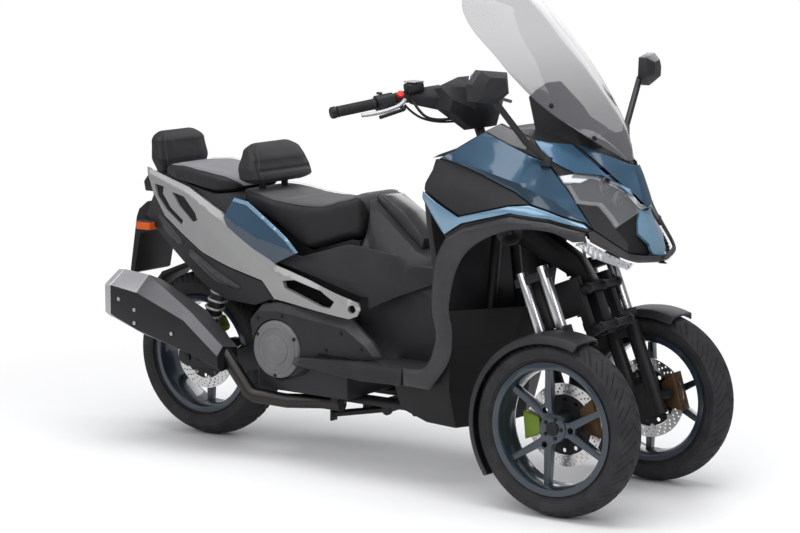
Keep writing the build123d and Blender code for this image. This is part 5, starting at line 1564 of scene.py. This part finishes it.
class TRIKE_OT_side_frames(bpy.types.Operator):
    """Makes the satin side frames, the side panels and the undertail ribs"""
    bl_idname = "trike.side_frames"
    bl_label = "Side frames"

    def execute(self, context):
        holes = [FRAME_WINDOW, ring_outline(FRONT_HOLE, 13), *REAR_SLOTS]

        def frame_lift(x, z):
            d = from_line(FRAME_RIDGE, x, z)
            return 3 - (7 * min(1, d / 22) if d > 0 else 5 * min(1, -d / 60))

        skin = side_skin(SIDE_FRAME, TAIL, 0, 9, frame_lift, holes, [FRAME_RIDGE])
        new_piece("side_frame_plates", skin_pair(skin, 0.014, 0.0018, keep=22), "silver",
                  "chassis", "satin_silver", "side_frames")
        wells = [skin_pair(side_skin(grown(slot, 4), TAIL, -9), 0.002, 0.0004)
                 for slot in REAR_SLOTS]
        new_piece("side_frame_wells", joined(*wells), "plastic_dark", "chassis", "dark_plastic")
        ribs = [skin_pair(side_skin(rib, TAIL, -4, 8, lambda x, z, rib=rib:
                                    9 * share_of(from_edge(rib, x, z), 12)),
                          0.005, 0.0008, keep=25) for rib in UNDERTAIL_RIBS]
        new_piece("undertail_ribs", joined(*ribs), "plastic_satin", "chassis", "dark_plastic")

        def panel_lift(x, z):
            fold = from_line(PANEL_FOLD, x, z)
            return 10 - (8 * min(1, fold / 90) if fold > 0 else 16 * min(1, -fold / 60))

        def edge_lift(x, z):
            return panel_lift(x, z) + 2.5 * share_of(from_edge(BLUE_EDGE, x, z), 4)

        panel = side_skin(shrunk(BLUE_PANEL, 1.0), TAIL, 2, 9, panel_lift, lines=[PANEL_CREASE])
        edge = side_skin(BLUE_EDGE, TAIL, 3.5, 8, edge_lift)
        # Faces below the fold take a darker copy of the paint as painted shade.
        new_piece("side_panel_skins", shade_painted_below(skin_pair(panel, 0.004, 0.0014, keep=12), PANEL_FOLD),
                  ["paint", "paint_painted_shade"], "chassis", "blue_paint", "side_panels")
        # The panel's rim takes the paler paint as painted highlight, a bright edge line.
        new_piece("side_panel_edges", skin_pair(edge, 0.003, 0.0008, keep=20), "paint_light",
                  "chassis", "blue_paint")
        return {"FINISHED"}


class TRIKE_OT_arches(bpy.types.Operator):
    """Makes the curved trims round the front wheel arches"""
    bl_idname = "trike.arches"
    bl_label = "Arch trims"

    def execute(self, context):
        outline = (ARCH_OUTER[:-1] + through(ARCH_REAR, 6) + [(214, 332)] + through(ARCH_INNER, 6)
                   + [(845, 834)])
        skin = side_skin(outline, FLANK, 9, cell=9, lift=lambda x, z:
                         -9 * max(0, 1 - from_edge(outline, x, z) / 15) ** 1.6)
        new_piece("arch_trim_skins", skin_pair(skin, 0.020, 0.0025, keep=30), "plastic_satin",
                  "chassis", "dark_plastic", "arch_trims")
        return {"FINISHED"}


# ------------------------------------------------------------------ engine and exhaust
CAP_CENTRE = (-0.322, -0.2483, 0.381)
CAP_SCREWS_R = 0.0865
COVER_FACE = 0.2425      # the engine covers' outer faces, from the middle
COVER_SCREWS = [(-400, 478), (-300, 494), (-60, 462), (20, 418), (-120, 400), (-388, 338)]
# place and direction of each silencer screw
SILENCER_SCREWS = [
    ((-0.860, -0.3305, 0.470), (0, -1, 0.02)), ((-0.860, -0.3305, 0.425), (0, -1, 0)),
    ((-0.700, -0.3275, 0.405), (0, -1, 0)), ((-0.930, -0.3295, 0.500), (0, -1, 0))]


class TRIKE_OT_engine(bpy.types.Operator):
    """Finishes the engine covers, the drive cap and the exhaust"""
    bl_idname = "trike.engine"
    bl_label = "Engine and exhaust"

    def execute(self, context):
        # Up-facing faces of the engine covers take the paler plastic as painted highlight.
        zoned("engine_covers", ["plastic", "plastic_satin"],
              lambda place, normal: 1 if normal.z > 0.45 else 0, 0.004, segments=3)
        dressed("drive_cap", "plastic_grey", 0.004, segments=3)
        step = turned([(0.001, 0.070), (-0.0016, 0.0705), (-0.0026, 0.073), (-0.0026, 0.077),
                       (-0.0016, 0.0795), (0.001, 0.080)], CAP_CENTRE, steps=96)
        boss = turned([(0.001, 0.0001), (0.001, 0.050), (-0.0020, 0.0495), (-0.0030, 0.047),
                       (-0.0030, 0.0001)], CAP_CENTRE, steps=72)
        new_piece("drive_cap_rings", smooth(joined(step, boss), 30), "plastic_grey", "chassis",
                  "cap_grey")
        spots = [(wheelwise(CAP_CENTRE, 0.0012, CAP_SCREWS_R, a), (0, -1, 0))
                 for a in around(3, 0.5)]
        spots += [((x / 1000, side * COVER_FACE, z / 1000), (0, side, 0))
                  for side in (RIGHT, LEFT) for x, z in COVER_SCREWS]
        scatter_piece("engine_screws", spots, screw(0.004), "black_metal", "chassis", "cap_grey")
        zoned("silencer", ["can", "can_grey", "can_cap"],
              lambda place, normal: 0 if normal.z < 0.25 else 2 if place.x < -0.85 else 1,
              0.005, segments=3)
        zoned("silencer_cap", ["can_cap", "can"],
              lambda place, normal: 1 if normal.x < -0.9 else 0, 0.004, segments=3)
        outlet = turned([(0.0, 0.021), (0.0, 0.028), (0.006, 0.029), (0.012, 0.028),
                         (0.012, 0.021)], (0, 0, 0), steps=48)
        outlet.transform(Matrix.Translation((-0.9955, -0.262, 0.505))
                         @ Matrix.Rotation(math.pi / 2, 4, "Z"))
        new_piece("silencer_outlet", smooth(outlet, 30), "pipe", "chassis", "silencer_cap_silver")
        scatter_piece("silencer_screws", SILENCER_SCREWS, screw(0.004), "disc", "chassis",
                      "silencer_grey")
        return {"FINISHED"}


# ------------------------------------------------------------------ running gear
COIL_STEPS = 26          # points in one turn of a spring


def coil(start, end, radius, wire, turns):
    """A coil spring between two points."""
    a, b = Vector(start), Vector(end)
    axis = (b - a).normalized()
    u = axis.cross(Vector((0, 1, 0))).normalized()
    v = axis.cross(u)
    points = []
    for n in range(turns * COIL_STEPS + 1):
        t = n / (turns * COIL_STEPS)
        angle = 2 * math.pi * turns * t
        points.append(a + (b - a) * t + u * radius * math.cos(angle)
                      + v * radius * math.sin(angle))
    return tube(points, wire, 8)


# The left shock's ends, the left horn's place and turn, and the line of its stem.
SHOCK_FOOT, SHOCK_HEAD = (-0.735, 0.152, 0.300), (-0.600, 0.152, 0.600)
HORN_PLACE, HORN_SPLAY = (0.575, 0.235, 0.842), 0.5
HORN_STEM = [(0.575, 0.234, 0.842), (0.560, 0.225, 0.862), (0.540, 0.215, 0.880)]
HORN = [(0.0, 0.0001), (0.0, 0.020), (-0.006, 0.030), (-0.012, 0.038), (-0.018, 0.040),
        (-0.016, 0.034), (-0.009, 0.022), (-0.004, 0.010), (-0.010, 0.008), (-0.010, 0.0001)]


def sided(point, side):
    """A point that is given for the left, on either side."""
    return Vector((point[0], side * point[1], point[2]))


class TRIKE_OT_running_gear(bpy.types.Operator):
    """Makes the rear springs and the horns and finishes the front calipers"""
    bl_idname = "trike.running_gear"
    bl_label = "Running gear"

    def execute(self, context):
        springs = []
        for side in (RIGHT, LEFT):
            low = sided(SHOCK_FOOT, side)
            line = sided(SHOCK_HEAD, side) - low
            springs.append(coil(low + line * 0.19, low + line * 0.84, 0.030, 0.0048, 7))
        new_piece("rear_springs", smooth(joined(*springs), 50), "silver", "chassis", "frame_black")
        for word in ("right", "left"):
            zoned(f"calipers_{word}", ["lime", "gold"],
                  lambda place, normal: 1 if place.x > FRONT_AXLE else 0, 0.003, segments=3)
        horn = turned(HORN, (0, 0, 0), steps=48)
        pairs = []
        for side in (RIGHT, LEFT):
            splay = HORN_SPLAY if side < 0 else math.pi - HORN_SPLAY
            pairs.append(moved(horn, Matrix.Translation(sided(HORN_PLACE, side))
                               @ Matrix.Rotation(splay, 4, "Z")))
            pairs.append(tube([sided(point, side) for point in HORN_STEM], 0.009, 10))
        new_piece("horns", smooth(joined(*pairs), 35), "can", "chassis", "frame_black")
        return {"FINISHED"}


# ------------------------------------------------------------------ cockpit
def block(size, width):
    """A rounded block about its own middle."""
    return rounded(primitive("block", lambda work: bmesh.ops.create_cube(
        work, size=1, matrix=Matrix.Diagonal((*size, 1)))), width, 30, 3)


def can_of(radius, height, width):
    """A rounded can about its own middle, standing along Z."""
    return rounded(primitive("can", lambda work: bmesh.ops.create_cone(
        work, cap_ends=True, segments=32, radius1=radius, radius2=radius, depth=height)),
        width, 30, 3)


def tapered(start, end, low, high):
    """A six-sided shroud between two points, with its half height at each end."""
    axis = (Vector(end) - Vector(start)).normalized()
    side = axis.cross(Vector((0, 0, 1))).normalized()
    corners = [(-0.7, 1), (0.7, 1), (1.15, 0.1), (0.75, -1), (-0.75, -1), (-1.15, 0.1)]
    vertices = [Vector(p) + side * (u * size) + Vector((0, 0, v * size))
                for p, size in ((start, low), (end, high)) for u, v in corners]
    faces = [(n, (n + 1) % 6, (n + 1) % 6 + 6, n + 6) for n in range(6)]
    mesh = built(vertices, faces + [tuple(range(6))[::-1], tuple(range(6, 12))])
    return rounded(worked(mesh, outward), 0.006, 20, 3)


GRIP_END, GRIP_KNEE = Vector((0.034, -0.386, 1.190)), Vector((0.124, -0.246, 1.218))
GRIP_LENGTH = 0.124
SHROUD_END = Vector((0.236, -0.110, 1.226))
# line of each left hose and its radius
BAR_HOSES = [
    ([(0.176, 0.196, 1.232), (0.214, 0.205, 1.190), (0.224, 0.160, 1.160), (0.262, 0.100, 1.158),
      (0.296, 0.056, 1.166)], 0.0045),
    ([(0.160, 0.204, 1.206), (0.186, 0.186, 1.172), (0.220, 0.130, 1.150), (0.270, 0.080, 1.150),
      (0.300, 0.050, 1.156)], 0.0038),
]
MIRROR_PLACE, MIRROR_SWEEP = Vector((0.650, -0.470, 1.302)), math.radians(15)
MIRROR_BACK = [(-62, -40), (40, -50), (76, -10), (70, 40), (-20, 52), (-70, 22)]


def across_pair(mesh):
    """A right-hand mesh and its mirror image."""
    return smooth(mirrored(mesh), 35)


class TRIKE_OT_cockpit(bpy.types.Operator):
    """Makes the grips, switches, levers, hoses and mirrors"""
    bl_idname = "trike.cockpit"
    bl_label = "Cockpit"

    def execute(self, context):
        out = (GRIP_END - GRIP_KNEE).normalized()
        start = GRIP_END - out * GRIP_LENGTH

        def at(along, rise, ahead):
            return start + out * along + Vector((ahead, 0, rise))

        def placed(mesh, where):
            return moved(mesh, facing(where, out))

        dressed("handlebar", "black_metal", 0.001)
        dressed("handlebar_cover", "plastic", 0.006, segments=3)
        rings = [(n * 0.0065 + 0.004, 0.0172, 0.0158) for n in range(17)]
        profile = [(0.0, 0.0112), (0.0, 0.0175)]
        for along, high, low in rings:
            profile += [(along, high), (along + 0.004, high), (along + 0.0048, low),
                        (along + 0.0058, low)]
        profile += [(0.118, 0.0178), (0.124, 0.0178), (0.126, 0.0165), (0.126, 0.0112)]
        grip = turned(profile, (0, 0, 0), steps=40)
        grip.transform(Matrix.Rotation(math.pi / 2, 4, "X"))
        weight = turned([(0.128, 0.0001), (0.128, 0.0165), (0.131, 0.0188), (0.142, 0.0188),
                         (0.146, 0.016), (0.146, 0.0001)], (0, 0, 0), steps=40)
        weight.transform(Matrix.Rotation(math.pi / 2, 4, "X"))
        new_piece("grip_rubbers", across_pair(placed(grip, start)), "grip", "handlebar",
                  "grip_rubber", "grips")
        new_piece("bar_weights", across_pair(placed(weight, start)), "black_metal", "handlebar",
                  "grip_rubber")
        pods = [placed(block((0.050, 0.044, 0.064), 0.010), at(-0.040, 0.0, 0.0)),
                placed(block((0.040, 0.036, 0.056), 0.009), at(-0.092, 0.002, 0.002))]
        new_piece("switch_pods", across_pair(joined(*pods)), "plastic", "handlebar", "frame_black")
        tank = placed(block((0.046, 0.032, 0.056), 0.008), at(-0.112, 0.032, 0.026))
        new_piece("fluid_tanks", across_pair(tank), "casting", "handlebar", "frame_black")
        lid = moved(block((0.044, 0.052, 0.005), 0.002),
                    Matrix.Translation(at(-0.112, 0.050, 0.026)))
        new_piece("fluid_tank_lids", across_pair(lid), "can_cap", "handlebar", "frame_black")
        button = moved(can_of(0.0115, 0.014, 0.0025),
                       facing(at(-0.066, 0.018, 0.026), (0.6, -0.45, 0.55)))
        rocker = moved(block((0.018, 0.012, 0.008), 0.003),
                       Matrix.Translation(at(-0.030, 0.027, -0.014)))
        new_piece("stop_button", smooth(button, 35), "red_button", "handlebar", "frame_black")
        new_piece("switch_rockers", across_pair(rocker), "plastic_satin", "handlebar",
                  "frame_black")
        wedge = tapered(at(-0.118, 0.0, 0.002), SHROUD_END, 0.022, 0.040)
        new_piece("bar_shrouds", across_pair(wedge), "plastic", "handlebar", "frame_black")
        lever = tube([at(-0.058, 0.004, 0.052), at(-0.030, -0.004, 0.074), at(0.020, -0.012, 0.078),
                      at(0.075, -0.014, 0.072), at(0.100, -0.012, 0.066)], 0.0068, 12)
        new_piece("brake_levers", across_pair(lever), "can_cap", "handlebar", "frame_black")
        hoses = [tube([sided(point, side) for point in line], radius, 10)
                 for side in (RIGHT, LEFT) for line, radius in BAR_HOSES]
        new_piece("bar_hoses", smooth(joined(*hoses), 50), "rubber", "handlebar", "frame_black")
        self.mirrors()
        return {"FINISHED"}

    def mirrors(self):
        # Up-facing faces of the mirror housings take the paler plastic as painted highlight.
        zoned("mirrors", ["plastic", "plastic_satin"],
              lambda place, normal: 1 if normal.z > 0.6 else 0, 0.005, segments=3)
        s, c = math.sin(MIRROR_SWEEP), math.cos(MIRROR_SWEEP)
        right, ahead = Vector((-s, -c, 0)), Vector((c, -s, 0))
        rim = [MIRROR_PLACE + right * (u / 1000) + Vector((0, 0, v / 1000)) - ahead * 0.0182
               for u, v in shrunk(MIRROR_BACK, 7)]
        front = [p + ahead * 0.002 for p in rim]
        count = len(rim)
        mesh = built(rim + front, [tuple(range(count)), tuple(range(2 * count - 1, count - 1, -1))]
                     + [(n, n + count, (n + 1) % count + count, (n + 1) % count)
                        for n in range(count)])
        new_piece("mirror_glasses", across_pair(rounded(worked(mesh, outward), 0.0008)),
                  "mirror_glass", "chassis", "frame_black")


# ------------------------------------------------------------------ plain dressings
# node, finish, edge rounding in millimetres
MOULDINGS = [
    ("dash", "plastic", 2.5),
    ("leg_shield", "plastic", 2.5),
    ("front_liner", "plastic_dark", 1.5),
    ("tail_unit", "plastic", 2.0),
    ("rear_mudguard", "plastic_dark", 2.0),
    ("fuel_lid", "lid", 3.0),
    ("luggage_tub", "plastic_dark", 1.5),
    ("mudguard_right", "plastic", 2.0),
    ("mudguard_left", "plastic", 2.0),
]
METALWORK = [
    ("upright_right", "casting", 2.0),
    ("upright_left", "casting", 2.0),
    ("tilt_linkage", "casting", 3.0),
    ("fork_tubes_right", "chrome", 0.6),
    ("fork_tubes_left", "chrome", 0.6),
    ("swingarm", "casting", 4.0),
    ("engine", "alloy", 5.0),
    ("exhaust_pipe", "pipe", 1.0),
    ("frame", "black_metal", 1.0),
    ("seat_frame", "black_metal", 1.0),
    ("rear_shocks", "black_metal", 1.0),
    ("centre_stand", "black_metal", 2.0),
    ("rear_caliper", "lime", 2.5),
]


def dress_list(table):
    for node, material, width in table:
        dressed(node, material, width / 1000)


class TRIKE_OT_mouldings(bpy.types.Operator):
    """Finishes the unpainted mouldings"""
    bl_idname = "trike.mouldings"
    bl_label = "Mouldings"

    def execute(self, context):
        dress_list(MOULDINGS)
        # Up-facing faces of the tunnel, footboards and underseat panels take the paler plastic as
        # painted highlight.
        for node, width in (("centre_tunnel", 4.0), ("footboards", 3.0), ("underseat_panels", 2.0)):
            zoned(node, ["plastic", "plastic_satin"],
                  lambda place, normal: 1 if normal.z > 0.3 else 0, width / 1000)
        return {"FINISHED"}


class TRIKE_OT_metalwork(bpy.types.Operator):
    """Finishes the castings, tubes and running gear"""
    bl_idname = "trike.metalwork"
    bl_label = "Metalwork"

    def execute(self, context):
        dress_list(METALWORK)
        return {"FINISHED"}


# ------------------------------------------------------------------ stage
CAMERA_PLACE = (4.5612, -6.4698, 1.8593)
CAMERA_TURN = (Vector((0.8171, 0.5765, 0.0033)), Vector((-0.0894, 0.1210, 0.9886)),
               Vector((0.5695, -0.8081, 0.1504)))
CAMERA_LENS = 110.37
FLOOR_FADE = 1.9         # where the floor turns to plain white, in metres from the middle
FLOOR_HALF = 40
WHITE = (1, 1, 1, 1)
SKY, SKY_STRENGTH = (0.93, 0.95, 1.0, 1), 0.42
# name, place, aimed at, width, height, watts
LAMPS = [
    ("overhead", (0.4, -0.6, 4.2), (0, 0, 0.4), 4.5, 3.5, 170),
    ("key", (1.2, -4.8, 3.4), (0, 0, 0.6), 4.4, 2.4, 85),
    ("front", (5.0, -1.6, 2.2), (0.3, 0, 0.6), 2.2, 1.6, 50),
    ("fill", (-4.6, -3.2, 2.6), (-0.3, 0, 0.6), 2.6, 1.6, 35),
    ("far", (-1.0, 4.8, 2.8), (0, 0, 0.7), 3.5, 2.2, 60),
]


def aimed(place, target):
    return (Vector(target) - Vector(place)).to_track_quat("-Z", "Y").to_euler()


class TRIKE_OT_stage(bpy.types.Operator):
    """Lays the floor and sets the lamps and the camera"""
    bl_idname = "trike.stage"
    bl_label = "Stage"

    def execute(self, context):
        scene = context.scene
        corners = [(-1, -1), (1, -1), (1, 1), (-1, 1)]
        floor = bpy.data.objects.new("floor", built(
            [(x * FLOOR_HALF, y * FLOOR_HALF, 0) for x, y in corners], [(0, 1, 2, 3)]))
        scene.collection.objects.link(floor)
        pale = Finish("floor_pale", Roughness=0.6, Specular_IOR_Level=0.2)
        pale.feed("Base Color", pale.mix(pale.noise(0.6), (0.86, 0.86, 0.86), (0.88, 0.88, 0.88)))
        x, y = pale.split("X"), pale.split("Y")
        far = (x * x + y * y).above(FLOOR_FADE ** 2, FLOOR_FADE ** 2 * 0.8)
        seen = pale.node("ShaderNodeLightPath")
        white = pale.node("ShaderNodeEmission", values={"Color": WHITE, "Strength": 1.0})
        both = pale.node("ShaderNodeMixShader",
                         values={0: far * seen, 1: Wire(pale, pale.shader.outputs[0]), 2: white})
        pale.tree.links.new(both.socket, pale.tree.nodes["Material Output"].inputs[0])
        floor.data.materials.append(pale.material)
        floor.location.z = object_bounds()[0].z
        floor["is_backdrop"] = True
        for name, place, target, width, height, watts in LAMPS:
            light = bpy.data.lights.new(name, "AREA")
            light.shape = "RECTANGLE"
            light.size, light.size_y, light.energy = width, height, watts
            lamp = bpy.data.objects.new(name, light)
            lamp.location = place
            lamp.rotation_euler = aimed(place, target)
            scene.collection.objects.link(lamp)
        world = scene.world or bpy.data.worlds.new("world")
        scene.world = world
        world.use_nodes = True
        tree = world.node_tree
        tree.nodes.clear()
        out = tree.nodes.new("ShaderNodeOutputWorld")
        ray = tree.nodes.new("ShaderNodeLightPath")
        pick = tree.nodes.new("ShaderNodeMixShader")
        tree.links.new(ray.outputs["Is Camera Ray"], pick.inputs[0])
        for socket, colour, strength in ((1, SKY, SKY_STRENGTH), (2, WHITE, 1.0)):
            sky = tree.nodes.new("ShaderNodeBackground")
            sky.inputs["Color"].default_value = colour
            sky.inputs["Strength"].default_value = strength
            tree.links.new(sky.outputs[0], pick.inputs[socket])
        tree.links.new(pick.outputs[0], out.inputs[0])
        camera_data = bpy.data.cameras.new("camera")
        camera_data.lens = CAMERA_LENS
        camera_data.sensor_width = 36
        camera_data.clip_end = 200
        camera = bpy.data.objects.new("camera", camera_data)
        turn = Matrix(CAMERA_TURN).transposed().to_4x4()
        camera.matrix_world = Matrix.Translation(CAMERA_PLACE) @ turn
        scene.collection.objects.link(camera)
        scene.camera = camera
        scene.view_settings.view_transform = "Standard"
        return {"FINISHED"}


# ------------------------------------------------------------------ panel and registration
OPERATORS = [TRIKE_OT_wheels, TRIKE_OT_bodywork, TRIKE_OT_lamps, TRIKE_OT_cushions,
             TRIKE_OT_windscreen, TRIKE_OT_side_frames, TRIKE_OT_arches, TRIKE_OT_engine,
             TRIKE_OT_running_gear, TRIKE_OT_cockpit, TRIKE_OT_mouldings, TRIKE_OT_metalwork,
             TRIKE_OT_stage]


class TRIKE_PT_panel(bpy.types.Panel):
    """The trike's pieces, sizes and colours"""
    bl_idname = "TRIKE_PT_panel"
    bl_label = "Reverse trike"
    bl_space_type = "VIEW_3D"
    bl_region_type = "UI"
    bl_category = "Trike"

    def draw(self, context):
        for group in (context.scene.trike_sizes, context.scene.trike_colours):
            for key in group.bl_rna.properties.keys():
                if key not in ("rna_type", "name"):
                    self.layout.prop(group, key)
        for operator in OPERATORS:
            self.layout.operator(operator.bl_idname)


CLASSES = [TrikeSizes, TrikeColours, *OPERATORS, TRIKE_PT_panel]


def register():
    for made in CLASSES:
        bpy.utils.register_class(made)
    bpy.types.Scene.trike_sizes = bpy.props.PointerProperty(type=TrikeSizes)
    bpy.types.Scene.trike_colours = bpy.props.PointerProperty(type=TrikeColours)


def unregister():
    del bpy.types.Scene.trike_sizes
    del bpy.types.Scene.trike_colours
    for made in reversed(CLASSES):
        bpy.utils.unregister_class(made)


def main():
    register()
    for operator in OPERATORS:
        group, name = operator.bl_idname.split(".")
        getattr(getattr(bpy.ops, group), name)()


if __name__ == "__main__":
    main()
